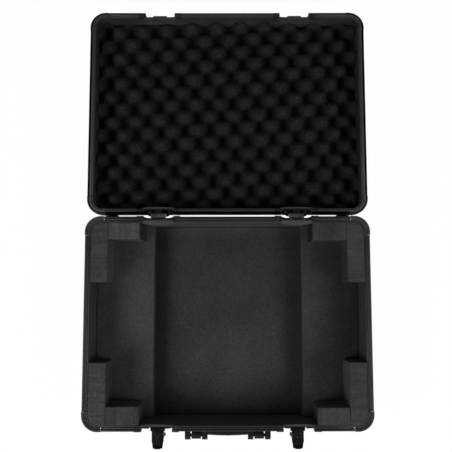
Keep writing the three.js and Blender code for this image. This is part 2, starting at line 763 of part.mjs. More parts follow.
function handleGrip() {
  const z = -handlePivotDrop;
  const barrelHalf = barrelWidth / 2;
  const armX = handleSpan / 2;
  const barZ = z - handleReach;
  const arms = [-1, 1].map(sign => {
    const centre = sign * armX;
    const barrel = rodAlongX(barrelRadius, centre - barrelHalf, centre + barrelHalf, handlePivotY, z);
    const stubHalf = barrelHalf + earSideGap + earWidth;
    const stub = rodAlongX(stubRadius, centre - stubHalf, centre + stubHalf, handlePivotY, z, pinSides);
    const arm = boxBetween(centre - barrelHalf, centre + barrelHalf,
      handlePivotY - handleArmThickness / 2, handlePivotY + handleArmThickness / 2, barZ, z);
    return joined(barrel, stub, arm);
  });
  const bar = gripBar(armX + barrelHalf).translate([0, handlePivotY, barZ]);
  return joined(...arms, bar);
}

// Rear feet, on the base's hinge side

function rearFoot(centreX) {
  const wallFace = halfY - baseRimWidth + baseWall + seatGap;
  const out = wallFace + footStandOff;
  const high = -footTopDrop;
  const low = high - footHeight;
  const half = footWidth / 2;
  return outlineAlongX([
    [wallFace, low],
    [out - footEdge, low],
    [out, low + footEdge],
    [out, high - footEdge],
    [out - footEdge, high],
    [wallFace, high],
  ], centreX - half, centreX + half);
}

const sides = [['left', -1], ['right', 1]];

function baseGroup() {
  const group = halfGroup(baseHalf, 1);
  group.add(floorPadMesh(), ...riserMeshes(), ...lFoamMeshes());
  for (const [side, sign] of sides) {
    const x = sign * fixtureOffset;
    group.add(namedMesh(`hinge_base_leaf_${side}`, baseLeaf(x), latchBlack()));
    group.add(namedMesh(`hinge_pin_${side}`, hingePin(x), brightSteel()));
    group.add(namedMesh(`latch_plate_${side}`, latchPlate(x), latchBlack()));
    group.add(namedMesh(`latch_arm_pin_${side}`, armPin(x), brightSteel()));
    group.add(namedMesh(`latch_arm_${side}`, latchArm(x), latchBlack()));
    group.add(namedMesh(`latch_pull_lever_${side}`, pullLever(x), latchBlack()));
    group.add(namedMesh(`handle_bracket_${side}`, handleBracket(sign), latchBlack()));
    group.add(namedMesh(`rear_foot_${side}`, rearFoot(sign * footOffset), footBlack()));
  }
  group.add(namedMesh('handle_grip', handleGrip(), latchBlack()));
  group.position.set(0, 0, baseHeight);
  return group;
}

// The lid is drawn like the base and turned half round, so that its hinge side meets the base's
function lidGroup() {
  const group = halfGroup(lidHalf, -1);
  group.add(lidFoamMesh());
  for (const [side, sign] of sides) {
    const x = -sign * fixtureOffset;
    group.add(namedMesh(`hinge_lid_leaf_${side}`, lidLeaf(x), latchBlack()));
    group.add(namedMesh(`lid_strike_${side}`, strikePlate(x), darkSteel()));
  }
  group.position.set(0, 2 * hingeAxisY, baseHeight);
  group.rotation.z = Math.PI;
  return group;
}

const flightCase = new THREE.Group();
flightCase.add(baseGroup(), lidGroup());
export default flightCase;
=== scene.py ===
# An open equipment case for a mixer: rounded rim rails, cut foam blocks, the egg-crate sheet in the lid,
# softened moulded pieces and small fasteners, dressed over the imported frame. Metres throughout.
import math

import bmesh
import bpy
import numpy as np
from mathutils import Matrix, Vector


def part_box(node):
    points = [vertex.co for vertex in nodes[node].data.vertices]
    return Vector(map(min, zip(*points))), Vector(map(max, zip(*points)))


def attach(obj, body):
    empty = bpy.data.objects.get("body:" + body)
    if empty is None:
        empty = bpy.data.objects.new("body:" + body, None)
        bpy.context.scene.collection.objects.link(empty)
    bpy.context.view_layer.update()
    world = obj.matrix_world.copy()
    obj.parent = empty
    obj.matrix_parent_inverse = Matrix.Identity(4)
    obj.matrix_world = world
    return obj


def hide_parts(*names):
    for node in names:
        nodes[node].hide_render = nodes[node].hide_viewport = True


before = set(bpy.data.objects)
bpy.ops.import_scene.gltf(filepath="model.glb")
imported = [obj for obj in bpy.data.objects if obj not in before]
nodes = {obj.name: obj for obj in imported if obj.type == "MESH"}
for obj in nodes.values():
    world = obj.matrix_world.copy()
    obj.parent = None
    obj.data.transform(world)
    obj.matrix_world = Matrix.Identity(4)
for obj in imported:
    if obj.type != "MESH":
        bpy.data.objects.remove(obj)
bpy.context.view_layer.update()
mm = 0.001
sides = {"left": -1, "right": 1}
ends = {"front": -1, "rear": 1}
quadrants = ((1, 1), (-1, 1), (-1, -1), (1, -1))
fixtureAt = 134 * mm  # hinges and latches, to both sides of the middle
print("frame loaded:", len(nodes), "nodes")

# Camera

# angles in degrees: away from straight down, round the upright, and rolled
viewpoint = dict(place=(-0.0048, 0.0613, 1.3515), tilt=5.717, yaw=0.9045, roll=0.8306,
                 focalPixels=637.8, imagePixels=452, sensor=36, clipEnd=50)


# a camera or a lamp whose own x, y and z point along the three axes
def addTurned(name, data, place, axes):
    item = bpy.data.objects.new(name, data)
    item.matrix_world = Matrix.Translation(place) @ Matrix(np.column_stack(axes).tolist()).to_4x4()
    bpy.context.scene.collection.objects.link(item)
    return item


def addCamera():
    tilt, yaw, roll = (math.radians(viewpoint[key]) for key in ("tilt", "yaw", "roll"))
    level = np.array([math.sin(yaw), math.cos(yaw), 0])
    upright = np.array([0, 0, 1])
    forward = level * math.sin(tilt) - upright * math.cos(tilt)
    upward = level * math.cos(tilt) + upright * math.sin(tilt)
    right = np.cross(forward, upward)
    rolledRight = math.cos(roll) * right + math.sin(roll) * upward
    rolledUp = math.cos(roll) * upward - math.sin(roll) * right
    data = bpy.data.cameras.new("photoCamera")
    data.sensor_width = viewpoint["sensor"]
    data.lens = viewpoint["focalPixels"] / viewpoint["imagePixels"] * viewpoint["sensor"]
    data.clip_end = viewpoint["clipEnd"]
    axes = [rolledRight, rolledUp, -forward]
    bpy.context.scene.camera = addTurned("photoCamera", data, viewpoint["place"], axes)


# Node trees

# an input that is given a socket is linked, any other is set
def feed(tree, node, inputs):
    for key, value in inputs.items():
        if isinstance(value, bpy.types.NodeSocket):
            tree.links.new(value, node.inputs[key])
        else:
            node.inputs[key].default_value = value
    return node


def addNode(tree, kind, inputs=None, **settings):
    node = tree.nodes.new(kind)
    for key, value in settings.items():
        setattr(node, key, value)
    return feed(tree, node, inputs or {})


def grouped(tree, group, place, inputs):
    return addNode(tree, "ShaderNodeGroup", {"Vector": place, **inputs}, node_tree=group).outputs


def math2(tree, operation, first, second):
    return addNode(tree, "ShaderNodeMath", {0: first, 1: second}, operation=operation).outputs[0]


# a value within one span is drawn out to another
def spread(tree, value, span, reach=(0, 1), **settings):
    inputs = dict(zip(("From Min", "From Max", "To Min", "To Max"), (*span, *reach)), Value=value)
    return addNode(tree, "ShaderNodeMapRange", inputs, **settings).outputs["Result"]


def noise(tree, place, scale, detail, roughness):
    inputs = {"Vector": place, "Scale": scale, "Detail": detail, "Roughness": roughness}
    return addNode(tree, "ShaderNodeTexNoise", inputs).outputs[0]


def cellular(tree, place, scale, **settings):
    node = addNode(tree, "ShaderNodeTexVoronoi", {"Vector": place, "Scale": scale}, **settings)
    return node.outputs["Distance"]


def mixColor(tree, factor, first, second):
    inputs = {"Factor": factor, 6: first, 7: second}
    return addNode(tree, "ShaderNodeMix", inputs, data_type="RGBA").outputs[2]


def bumped(tree, height, strength, distance):
    inputs = {"Height": height, "Strength": strength, "Distance": distance}
    return addNode(tree, "ShaderNodeBump", inputs).outputs["Normal"]


# every group takes a place first; its other inputs are named with their defaults, a vector as a tuple
def newGroup(name, inputs, outputs):
    tree = bpy.data.node_groups.new(name, "ShaderNodeTree")
    tree.interface.new_socket("Vector", in_out="INPUT", socket_type="NodeSocketVector")
    for label, value in inputs.items():
        kind = "NodeSocketVector" if isinstance(value, tuple) else "NodeSocketFloat"
        tree.interface.new_socket(label, in_out="INPUT", socket_type=kind).default_value = value
    for label in outputs:
        tree.interface.new_socket(label, in_out="OUTPUT", socket_type="NodeSocketFloat")
    return tree, tree.nodes.new("NodeGroupInput"), tree.nodes.new("NodeGroupOutput")


# Surface effects

# a noise is detail and roughness, behind its scale where no input gives that; a span is drawn out to 0 to 1
foamGrain = dict(fine=(3.0, 0.7), fineShare=0.65, cellShare=0.45, toneSpan=(0.38, 0.82),
                 broad=(4.0, 0.6), specks=(2.0, 0.8), noiseSpan=(0.3, 0.7))
sawGrain = dict(streaks=(1.0, 4.0, 0.65), span=(0.35, 0.65))
pebbleGrain = dict(fine=(2.0, 0.5), fineShare=0.4, haze=(22.0, 5.0, 0.65), hazeSpan=(0.35, 0.68))
wearGrain = dict(scuffs=(160.0, 4.0, 0.7), span=(0.35, 0.6))


# open cells: fine noise over rounder cells, with broad mottling and coarser specks
def makeFoamCells():
    scales = {"Cell Scale": 600.0, "Mottle Scale": 18.0, "Speck Scale": 330.0}
    tree, given, out = newGroup("foamCells", scales, ["Tone", "Mottle", "Speck", "Height"])
    place, cellScale = given.outputs["Vector"], given.outputs["Cell Scale"]
    fine = noise(tree, place, cellScale, *foamGrain["fine"])
    cells = cellular(tree, place, cellScale)
    broad = noise(tree, place, given.outputs["Mottle Scale"], *foamGrain["broad"])
    specks = noise(tree, place, given.outputs["Speck Scale"], *foamGrain["specks"])
    height = math2(tree, "ADD", math2(tree, "MULTIPLY", fine, foamGrain["fineShare"]),
                   math2(tree, "MULTIPLY", cells, foamGrain["cellShare"]))
    feed(tree, out, {"Tone": spread(tree, height, foamGrain["toneSpan"]), "Height": height,
                     "Mottle": spread(tree, broad, foamGrain["noiseSpan"]),
                     "Speck": spread(tree, specks, foamGrain["noiseSpan"])})
    return tree


# long thin streaks across one axis, as a foam saw leaves them
def makeSawMarks():
    tree, given, out = newGroup("sawMarks", {"Across": (1, 1, 1)}, ["Tone", "Height"])
    inputs = {0: given.outputs["Vector"], 1: given.outputs["Across"]}
    stretched = addNode(tree, "ShaderNodeVectorMath", inputs, operation="MULTIPLY").outputs[0]
    streaks = noise(tree, stretched, *sawGrain["streaks"])
    feed(tree, out, {"Tone": spread(tree, streaks, sawGrain["span"]), "Height": streaks})
    return tree


# pebbled plastic: smooth cells with a finer noise in them, under a broad haze
def makeMouldGrain():
    tree, given, out = newGroup("mouldGrain", {"Grain Scale": 900.0}, ["Height", "Haze"])
    place, grainScale = given.outputs["Vector"], given.outputs["Grain Scale"]
    pebbles = cellular(tree, place, grainScale, feature="SMOOTH_F1")
    fine = noise(tree, place, grainScale, *pebbleGrain["fine"])
    haze = noise(tree, place, *pebbleGrain["haze"])
    height = math2(tree, "ADD", pebbles, math2(tree, "MULTIPLY", fine, pebbleGrain["fineShare"]))
    feed(tree, out, {"Height": height, "Haze": spread(tree, haze, pebbleGrain["hazeSpan"])})
    return tree


# outward edges, broken up by noise: worn edges that also carry a painted highlight
def makeEdgeWearAndHighlight():
    tree, given, out = newGroup("edgeWearAndHighlight", {"From": 0.53, "To": 0.62}, ["Mask"])
    pointed = addNode(tree, "ShaderNodeNewGeometry").outputs["Pointiness"]
    edge = spread(tree, pointed, (given.outputs["From"], given.outputs["To"]))
    scuffs = noise(tree, given.outputs["Vector"], *wearGrain["scuffs"])
    feed(tree, out, {"Mask": math2(tree, "MULTIPLY", edge, spread(tree, scuffs, wearGrain["span"]))})
    return tree


foamCells, sawMarks, mouldGrain, edgeWearAndHighlight = makeFoamCells(), makeSawMarks(), makeMouldGrain(), makeEdgeWearAndHighlight()

# Materials


def newMaterial(name):
    material = bpy.data.materials.new(name)
    material.use_nodes = True
    tree = material.node_tree
    place = addNode(tree, "ShaderNodeTexCoord").outputs["Object"]
    return material, tree, tree.nodes["Principled BSDF"], place


def grey(value):
    return (value, value, value, 1)


# between two greys, each times the tone
def mixGreys(tree, factor, greys, tone=1.0):
    return mixColor(tree, factor, grey(tone * greys[0]), grey(tone * greys[1]))


# the shade that addPiece painted on the piece's points
def paintedShade(tree):
    return addNode(tree, "ShaderNodeAttribute", attribute_name="shade").outputs["Fac"]


# colour times the painted shade and times each pattern of 0 to 1, drawn out to its reach
def shaded(tree, colour, *patterns):
    value = paintedShade(tree)
    for pattern, reach in patterns:
        value = math2(tree, "MULTIPLY", value, spread(tree, pattern, (0, 1), reach))
    return addNode(tree, "ShaderNodeVectorMath", {0: colour, 1: value}, operation="MULTIPLY").outputs[0]


# a roughness that follows a pattern of 0 to 1, half of the span to each side
def roughened(tree, pattern, roughness, span):
    return math2(tree, "ADD", math2(tree, "MULTIPLY", pattern, span), roughness - span / 2)


plasticLook = dict(tones=(0.82, 1.2), roughSpan=0.14, bump=0.35)
metalLook = dict(tones=(0.85, 1.1), roughSpan=0.18, grainScale=700.0, bump=(0.12, 0.2 * mm))
cutLook = dict(scales={"Cell Scale": 520.0, "Mottle Scale": 14.0}, tones=(0.76, 1.24), specks=(0.72, 1.28),
               shine=0.1, sideShadeFrom=1.4 * mm, sideShadeTo=0.5 * mm, streakShare=0.5, bump=(0.5, 0.6 * mm))
crateLook = dict(scales={"Cell Scale": 430.0, "Mottle Scale": 30.0, "Speck Scale": 420.0},
                 tones=(0.5, 1.45), mottles=(0.9, 1.08), specks=(0.05, 2.05), shine=0.08,
                 bump=(0.7, 0.9 * mm))


def mouldedPlastic(name, tone, roughness, grainScale, grainDepth, wornHighlightTone, shine=0.15):
    material, tree, shader, place = newMaterial(name)
    grain = grouped(tree, mouldGrain, place, {"Grain Scale": grainScale})
    # worn edges, made lighter also as a painted highlight along them
    wearAndHighlight = grouped(tree, edgeWearAndHighlight, place, {})["Mask"]
    hazy = mixGreys(tree, grain["Haze"], plasticLook["tones"], tone)
    # parts painted dark lose their shine too
    shader.inputs["Specular IOR Level"].default_value = shine
    paintedShine = math2(tree, "MULTIPLY", math2(tree, "MINIMUM", paintedShade(tree), 1.0), shine)
    feed(tree, shader, {"Base Color": shaded(tree, mixColor(tree, wearAndHighlight, hazy, grey(wornHighlightTone))),
                        "Roughness": roughened(tree, grain["Haze"], roughness, plasticLook["roughSpan"]),
                        "Specular IOR Level": paintedShine,
                        "Normal": bumped(tree, grain["Height"], plasticLook["bump"], grainDepth)})
    return material


# dull foam: its colour times its patterns, with bumps
def finishFoam(tree, shader, look, colour, patterns, bumps):
    feed(tree, shader, {"Base Color": shaded(tree, colour, *patterns), "Roughness": 1.0,
                        "Specular IOR Level": look["shine"], "Normal": bumped(tree, bumps, *look["bump"])})


def heightOf(tree, place):
    return addNode(tree, "ShaderNodeSeparateXYZ", {0: place}).outputs["Z"]


# painted shade: the sides are painted darker than the top, the change lying just below top
def cutFoam(name, top, greys, across, streak, sideShadeTone=0.7):
    material, tree, shader, place = newMaterial(name)
    cells = grouped(tree, foamCells, place, cutLook["scales"])
    marks = grouped(tree, sawMarks, place, {"Across": across})
    # painted shade: darker down the sides, full tone on the top
    paintedSideShade = spread(tree, heightOf(tree, place), (top - cutLook["sideShadeFrom"], top - cutLook["sideShadeTo"]))
    patterns = [(paintedSideShade, (sideShadeTone, 1)), (cells["Tone"], cutLook["tones"]),
                (cells["Speck"], cutLook["specks"]), (marks["Tone"], (1 - streak, 1 + streak))]
    streaks = math2(tree, "MULTIPLY", marks["Height"], cutLook["streakShare"])
    bumps = math2(tree, "ADD", cells["Height"], streaks)
    finishFoam(tree, shader, cutLook, mixGreys(tree, cells["Mottle"], greys), patterns, bumps)
    return material


# painted shade in the hollows: the tone is painted darker low down and climbs from low to high
def bumpyFoam(name, low, high, greys):
    material, tree, shader, place = newMaterial(name)
    cells = grouped(tree, foamCells, place, crateLook["scales"])
    # painted shade, darker down in the hollows
    raised = spread(tree, heightOf(tree, place), (low, high), interpolation_type="SMOOTHSTEP")
    patterns = [(cells["Tone"], crateLook["tones"]), (cells["Mottle"], crateLook["mottles"]),
                (cells["Speck"], crateLook["specks"])]
    finishFoam(tree, shader, crateLook, mixGreys(tree, raised, greys), patterns, cells["Height"])
    return material


def metal(name, tone, roughness, brushed):
    material, tree, shader, place = newMaterial(name)
    lines = grouped(tree, sawMarks, place, {"Across": brushed})
    haze = grouped(tree, mouldGrain, place, {"Grain Scale": metalLook["grainScale"]})["Haze"]
    feed(tree, shader, {"Base Color": shaded(tree, mixGreys(tree, haze, metalLook["tones"], tone)),
                        "Metallic": 1.0,
                        "Roughness": roughened(tree, lines["Tone"], roughness, metalLook["roughSpan"]),
                        "Normal": bumped(tree, lines["Height"], *metalLook["bump"])})
    return material


def topOf(node):
    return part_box(node)[1][2]


finishes = dict(
    # tone, roughness, scale and depth of the grain, tone of worn edges with their painted highlight, shine
    shell=mouldedPlastic("shellPlastic", 0.038, 0.5, 900.0, 0.4 * mm, 0.05),
    # the shells' one plastic, painted darker in the lid as a painted shade
    lidShell=mouldedPlastic("lidShellPlastic", 0.019, 0.48, 900.0, 0.4 * mm, 0.05),
    rim=mouldedPlastic("rimPlastic", 0.022, 0.38, 1400.0, 0.2 * mm, 0.06),
    fixture=mouldedPlastic("fixturePlastic", 0.006, 0.42, 1300.0, 0.2 * mm, 0.03, 0.05),
    latch=mouldedPlastic("latchPlastic", 0.0026, 0.42, 1300.0, 0.2 * mm, 0.014, 0.025),
    foot=mouldedPlastic("footRubber", 0.004, 0.7, 1500.0, 0.2 * mm, 0.01, 0.04),
    # tone, roughness, how close the brushed lines lie along x, y and z
    darkSteel=metal("darkSteel", 0.025, 0.42, (900, 40, 40)),
    rivetSteel=metal("rivetSteel", 0.06, 0.38, (300, 300, 60)),
    brightSteel=metal("brightSteel", 0.42, 0.3, (60, 900, 900)),
    # top, darkest and lightest tone, how close the saw's streaks lie, their strength, painted shade of the
    # sides
    floorFoam=cutFoam("floorPadFoam", topOf("foam_floor_pad"), (0.025, 0.034), (60, 60, 300), 0.03),
    riserFoam=cutFoam("riserFoam", topOf("foam_riser_left"), (0.03, 0.041), (40, 60, 400), 0.05, 0.45),
    endBlockFoam=cutFoam("blockFoamSawnAcross", topOf("foam_end_block_rear_left"), (0.034, 0.044),
                         (150, 9, 60), 0.2),
    sideBlockFoam=cutFoam("blockFoamSawnAlong", topOf("foam_side_block_rear_left"), (0.034, 0.044),
                          (9, 150, 60), 0.2),
    # heights between which its painted shade climbs out of the hollows, darkest and lightest tone
    crateFoam=bumpyFoam("eggCrateFoam", 0.074, 0.0995, (0.0045, 0.0135)),
)
print("materials ready:", len(finishes))

# Meshes from arrays

weld = 1e-7  # points closer than this become one


def addPiece(name, points, faces, finish, body, sharpDegrees=None, shade=1.0):
    mesh = bpy.data.meshes.new(name)
    mesh.from_pydata(np.asarray(points, float).tolist(), [], [list(map(int, face)) for face in faces])
    painted = mesh.attributes.new("shade", "FLOAT", "POINT")
    painted.data.foreach_set("value", np.broadcast_to(shade, len(mesh.vertices)).astype(np.float32))
    work = bmesh.new()
    work.from_mesh(mesh)
    bmesh.ops.remove_doubles(work, verts=work.verts, dist=weld)
    bmesh.ops.recalc_face_normals(work, faces=work.faces)
    work.to_mesh(mesh)
    work.free()
    mesh.polygons.foreach_set("use_smooth", [True] * len(mesh.polygons))
    if sharpDegrees:
        mesh.set_sharp_from_angle(angle=math.radians(sharpDegrees))
    mesh.materials.append(finishes[finish])
    piece = bpy.data.objects.new(name, mesh)
    bpy.context.scene.collection.objects.link(piece)
    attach(piece, body)
    return piece


# quads between neighbouring rows and columns of points; a wrapped grid closes on itself
def gridQuads(rows, columns, wrapped=True):
    last = columns if wrapped else columns - 1
    row, column = np.meshgrid(np.arange(rows - 1), np.arange(last), indexing="ij")
    after = (column + 1) % columns
    quads = np.stack([row * columns + column, row * columns + after,
                      (row + 1) * columns + after, (row + 1) * columns + column], -1)
    return quads.reshape(-1, 4)


# closed rings joined in order, with a fan to one point at each end
def ringedSolid(rings, firstPole, lastPole):
    count, around = rings.shape[:2]
    points = np.vstack([rings.reshape(-1, 3), firstPole, lastPole])
    here = np.arange(around)
    after = (here + 1) % around
    firstFan = np.stack([after, here, np.full(around, count * around)], -1)
    lastStart = (count - 1) * around
    lastFan = np.stack([lastStart + here, lastStart + after, np.full(around, count * around + 1)], -1)
    return points, gridQuads(count, around).tolist() + firstFan.tolist() + lastFan.tolist()


# an offset for each point: amount * sum of size * sin(wave . point + phase) / sqrt(count), from a seed
def ripple(points, seed, wavelength, amount, count=6, looseness=1.7):
    random = np.random.default_rng(seed)
    waves = random.normal(size=(count, 3)) * (2 * np.pi / wavelength / looseness)
    phases = random.uniform(0, 2 * np.pi, (count, 3))
    sizes = random.normal(size=(count, 3))
    sines = np.sin((points @ waves.T)[..., None] + phases)
    return amount * (sines * sizes).sum(-2) / math.sqrt(count)


# a rectangle with four corner radii, walked once round in quarter circles and straight steps:
# its places and its outward directions
def roundedOutline(low, high, radii, spacing, cornerSteps=6):
    arcs = []
    for corner, (signX, signY) in enumerate(quadrants):
        radius = radii[corner]
        centre = np.array([high[0] - radius if signX > 0 else low[0] + radius,
                           high[1] - radius if signY > 0 else low[1] + radius])
        angle = np.radians(np.linspace(0, 90, cornerSteps) + 90 * corner)
        direction = np.stack([np.cos(angle), np.sin(angle)], -1)
        arcs.append((centre + radius * direction, direction))
    places, outward = [], []
    for corner, (points, directions) in enumerate(arcs):
        nextPoint = arcs[(corner + 1) % 4][0][0]
        steps = max(2, int(np.linalg.norm(nextPoint - points[-1]) / spacing))
        share = np.arange(1, steps)[:, None] / steps
        places += [points, points[-1] * (1 - share) + nextPoint * share]
        outward += [directions, np.repeat(directions[-1:], steps - 1, 0)]
    return np.vstack(places), np.vstack(outward)


# Foam blocks

blockShape = dict(spacing=6 * mm, edge=1.4 * mm, edgeSteps=4, sideStep=7 * mm, faceRings=9, dome=0.35 * mm,
                  wobble=0.22 * mm, wobbleLength=60 * mm, stillFoot=2 * mm, corner=19.1 * mm)

# each block's painted light and shade, extra size towards the middle and lean, as the photograph shows them:
# level = painted brightness of the whole block; spots = (x, y, reach along x, reach along y, amount) on it,
# painted pools of light where amount is above 0 and painted shadows where it is below; fuller = how far its
# inner end and inner side stand out beyond the frame's box; lean = more of that at the foot; faces = painted
# shade of the inner end and the inner side; lowEdge = radius of the lower edge
blockTraits = dict(
    # painted light in the lower middle and at the rear wall's foot, painted shadows beside the risers and
    # near the front and rear walls
    floor_pad=dict(lowEdge=10.7 * mm,
                   spots=[(0, -0.09, 0.13, 0.08, 0.3), (0, -0.2, 0.4, 0.03, -0.15),
                          (0, 0.2, 0.4, 0.06, -0.15), (0, 0.192, 0.4, 0.009, 0.5),
                          (-0.15, 0, 0.03, 1, -0.45), (0.15, 0, 0.03, 1, -0.18)]),
    riser_right=dict(spots=[(0.25, 0, 0.045, 1, -0.38)]),
    riser_left=dict(level=1.25, fuller=(1.8 * mm, 0)),
    end_block_rear_left=dict(level=1.33, fuller=(0, 0.6 * mm), lean=5 * mm, faces=(0.4, 1)),
    end_block_front_left=dict(level=0.88, fuller=(1.7 * mm, 1.9 * mm), faces=(0.9, 1.4)),
    end_block_rear_right=dict(level=0.93, fuller=(5 * mm, 2.8 * mm), faces=(0.27, 1)),
    end_block_front_right=dict(level=1.04, faces=(0.55, 1.15)),
    side_block_rear_left=dict(level=0.97, faces=(1.45, 1)),
    side_block_rear_right=dict(level=1.02, faces=(0.8, 1)),
    side_block_front_left=dict(level=1.05, faces=(1, 0.6)),
    side_block_front_right=dict(level=0.96, faces=(1.5, 0.5)),
)


# rings climb from the middle of the underside over the sides to the middle of the top; both edges are
# quarter circles, inset = radius * (1 - sin a), and the top rises by dome * (1 - share^2) to its middle
def blockRings(low, high, radii, lowEdge):
    edge, dome, faceRings = blockShape["edge"], blockShape["dome"], blockShape["faceRings"]
    cornerRadii = [max(edge, radius) for radius in radii]
    flat, outward = roundedOutline(low[:2], high[:2], cornerRadii, blockShape["spacing"])
    quarter = np.radians(np.linspace(0, 90, blockShape["edgeSteps"]))
    tall = high[2] - low[2]
    climb = np.linspace(0, 1, max(2, int(tall / blockShape["sideStep"])))[1:-1]
    inset = np.concatenate([lowEdge * (1 - np.sin(quarter)), np.zeros(len(climb)),
                            edge * (1 - np.cos(quarter))])
    height = np.concatenate([low[2] + lowEdge * (1 - np.cos(quarter)),
                             low[2] + lowEdge + climb * (tall - lowEdge - edge),
                             high[2] - edge * (1 - np.sin(quarter))])
    sideRings = np.concatenate([flat[None] - outward[None] * inset[:, None, None],
                                np.broadcast_to(height[:, None, None], (len(height), len(flat), 1))], -1)
    middle = np.append((low[:2] + high[:2]) / 2, 0)
    share = (np.arange(1, faceRings) / faceRings)[:, None, None]
    bottomMiddle, topMiddle = middle + [0, 0, low[2]], middle + [0, 0, high[2]]
    bottomRings = bottomMiddle + (sideRings[:1] - bottomMiddle) * share
    topRings = topMiddle + (sideRings[-1:] - topMiddle) * share[::-1]
    topRings[..., 2] += dome * (1 - share[::-1, :, 0] ** 2)
    topMiddle[2] += dome
    return ringedSolid(np.concatenate([bottomRings, sideRings, topRings]), bottomMiddle, topMiddle)


# each spot multiplies the painted shade by 1 + amount * exp(-(dx / reachX)^2 - (dy / reachY)^2): painted
# light where amount is above 0, painted shadow where it is below
def paintShadeSpots(points, level, spots):
    shade = np.full(len(points), float(level))
    for x, y, reachX, reachY, amount in spots:
        away = (points[:, :2] - (x, y)) / (reachX, reachY)
        shade *= 1 + amount * np.exp(-(away ** 2).sum(-1))
    return shade


# the frame's box in soft rings, drawn fuller towards the case's middle, with a wobble above the foot, and
# with painted light and shade on its points
def foamBlock(name, radii, finish, seed, lowEdge=blockShape["edge"], level=1.0, spots=(), fuller=(0, 0),
              lean=0, faces=(1, 1)):
    node = f"foam_{name}"
    low, high = (np.array(corner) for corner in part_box(node))
    toMiddle = -np.sign(low[:2] + high[:2])
    for axis in range(2):
        (high if toMiddle[axis] > 0 else low)[axis] += toMiddle[axis] * fuller[axis]
    points, quads = blockRings(low, high, radii, lowEdge)
    shade = paintShadeSpots(points, level, spots)
    # painted shade on the inner end and the inner side, set by faces
    nearEdge = blockShape["edge"] / 2
    for axis in range(2):
        inner = (high if toMiddle[axis] > 0 else low)[axis]
        onFace = (np.abs(points[:, axis] - inner) < nearEdge) & (points[:, 2] < high[2] - nearEdge)
        shade[onFace] *= faces[axis]
    wobble = ripple(points, seed, blockShape["wobbleLength"], blockShape["wobble"])
    wobble[points[:, 2] < low[2] + blockShape["stillFoot"]] = 0
    towards = (points[:, 0] - (low[0] if toMiddle[0] > 0 else high[0])) / (high[0] - low[0])
    points[:, 0] += lean * np.clip(towards, -1, 1) * (high[2] - points[:, 2]) / (high[2] - low[2])
    piece = addPiece(f"{node}_cut", points + wobble, quads, finish, "base", shade=shade)
    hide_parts(node)


def addBaseFoam():
    corner = blockShape["corner"]
    wide = [("floor_pad", [corner] * 4, "floorFoam"), ("riser_right", [corner, 0, 0, corner], "riserFoam"),
            ("riser_left", [0, corner, corner, 0], "riserFoam")]
    for seed, (name, radii, finish) in enumerate(wide, start=1):
        foamBlock(name, radii, finish, seed, **blockTraits[name])
    seed = 10
    for side, sign in sides.items():
        for end, along in ends.items():
            outer = [corner if quadrant == (sign, along) else 0 for quadrant in quadrants]
            for kind, radii, finish in (("side_block", outer, "sideBlockFoam"),
                                        ("end_block", [0] * 4, "endBlockFoam")):
                name = f"{kind}_{end}_{side}"
                foamBlock(name, radii, finish, seed, **blockTraits[name])
                seed += 1
    print("base foam ready")


# Egg-crate sheet

# with a = cos(2 pi u / pitchX) and b = cos(2 pi v / pitchY), the bumps follow
# s = a b - round (1 - a^2) (1 - b^2) + oval (b^2 - a^2) and t = ((1 + s) / 2)^widen,
# and stand bump * (t + (3 t^2 - 2 t^3 - t) steep) above the sheet
crate = dict(pitchX=49.8 * mm, pitchY=52.5 * mm, turn=math.radians(3.45), topAt=(13.4 * mm, 413.8 * mm),
             sheet=14 * mm, bump=28 * mm, round=0.11, oval=0.08, widen=0.88, steep=0.8,
             fuller=0.9 * mm, columns=250, rows=184, cornerRadius=17.4 * mm,
             edgeRound=2.6 * mm, edgeLift=7 * mm, liftReach=24 * mm, bottomEdge=10 * mm,
             bulgeHalf=35 * mm, nearBulge=2.2 * mm, farBulge=1.0 * mm, bulgePower=6,
             warp=1.3 * mm, warpLength=120 * mm, roll=0.8 * mm, rollLength=90 * mm,
             uneven=0.05, unevenLength=100 * mm)


# a rectangular grid with round corners, where each square shell of a corner becomes a quarter ring,
# and with its far and near edges giving way to the shell's bulges: its x, y and distance to the edge
def sheetGrid(half, rows, columns, radius):
    x, y = np.meshgrid(np.linspace(-half[0], half[0], columns), np.linspace(-half[1], half[1], rows))
    toEdge = np.minimum(half[0] - np.abs(x), half[1] - np.abs(y))
    overX = np.clip(np.abs(x) - half[0] + radius, 0, None)
    overY = np.clip(np.abs(y) - half[1] + radius, 0, None)
    reach = np.hypot(overX, overY)
    shrink = np.where(reach > 0, np.maximum(overX, overY) / np.where(reach > 0, reach, 1), 1)
    x = x - np.sign(x) * overX * (1 - shrink)
    y = y - np.sign(y) * overY * (1 - shrink)
    atBulge = np.clip(1 - np.abs(np.abs(x) - fixtureAt) / crate["bulgeHalf"], 0, 1)
    give = np.where(y < 0, crate["nearBulge"], crate["farBulge"]) * np.sin(atBulge * np.pi / 2) ** 2
    y = y * (1 - give * np.abs(y / half[1]) ** crate["bulgePower"] / half[1])
    return x, y, toEdge


def crateBumps(places):
    fromTop = places - crate["topAt"]
    cosine, sine = math.cos(crate["turn"]), math.sin(crate["turn"])
    u = fromTop[..., 0] * cosine + fromTop[..., 1] * sine
    v = fromTop[..., 1] * cosine - fromTop[..., 0] * sine
    a = np.cos(2 * np.pi * u / crate["pitchX"])
    b = np.cos(2 * np.pi * v / crate["pitchY"])
    s = a * b - crate["round"] * (1 - a ** 2) * (1 - b ** 2) + crate["oval"] * (b ** 2 - a ** 2)
    t = np.clip((1 + s) / 2, 0, 1) ** crate["widen"]
    return crate["bump"] * (t + (3 * t ** 2 - 2 * t ** 3 - t) * crate["steep"])


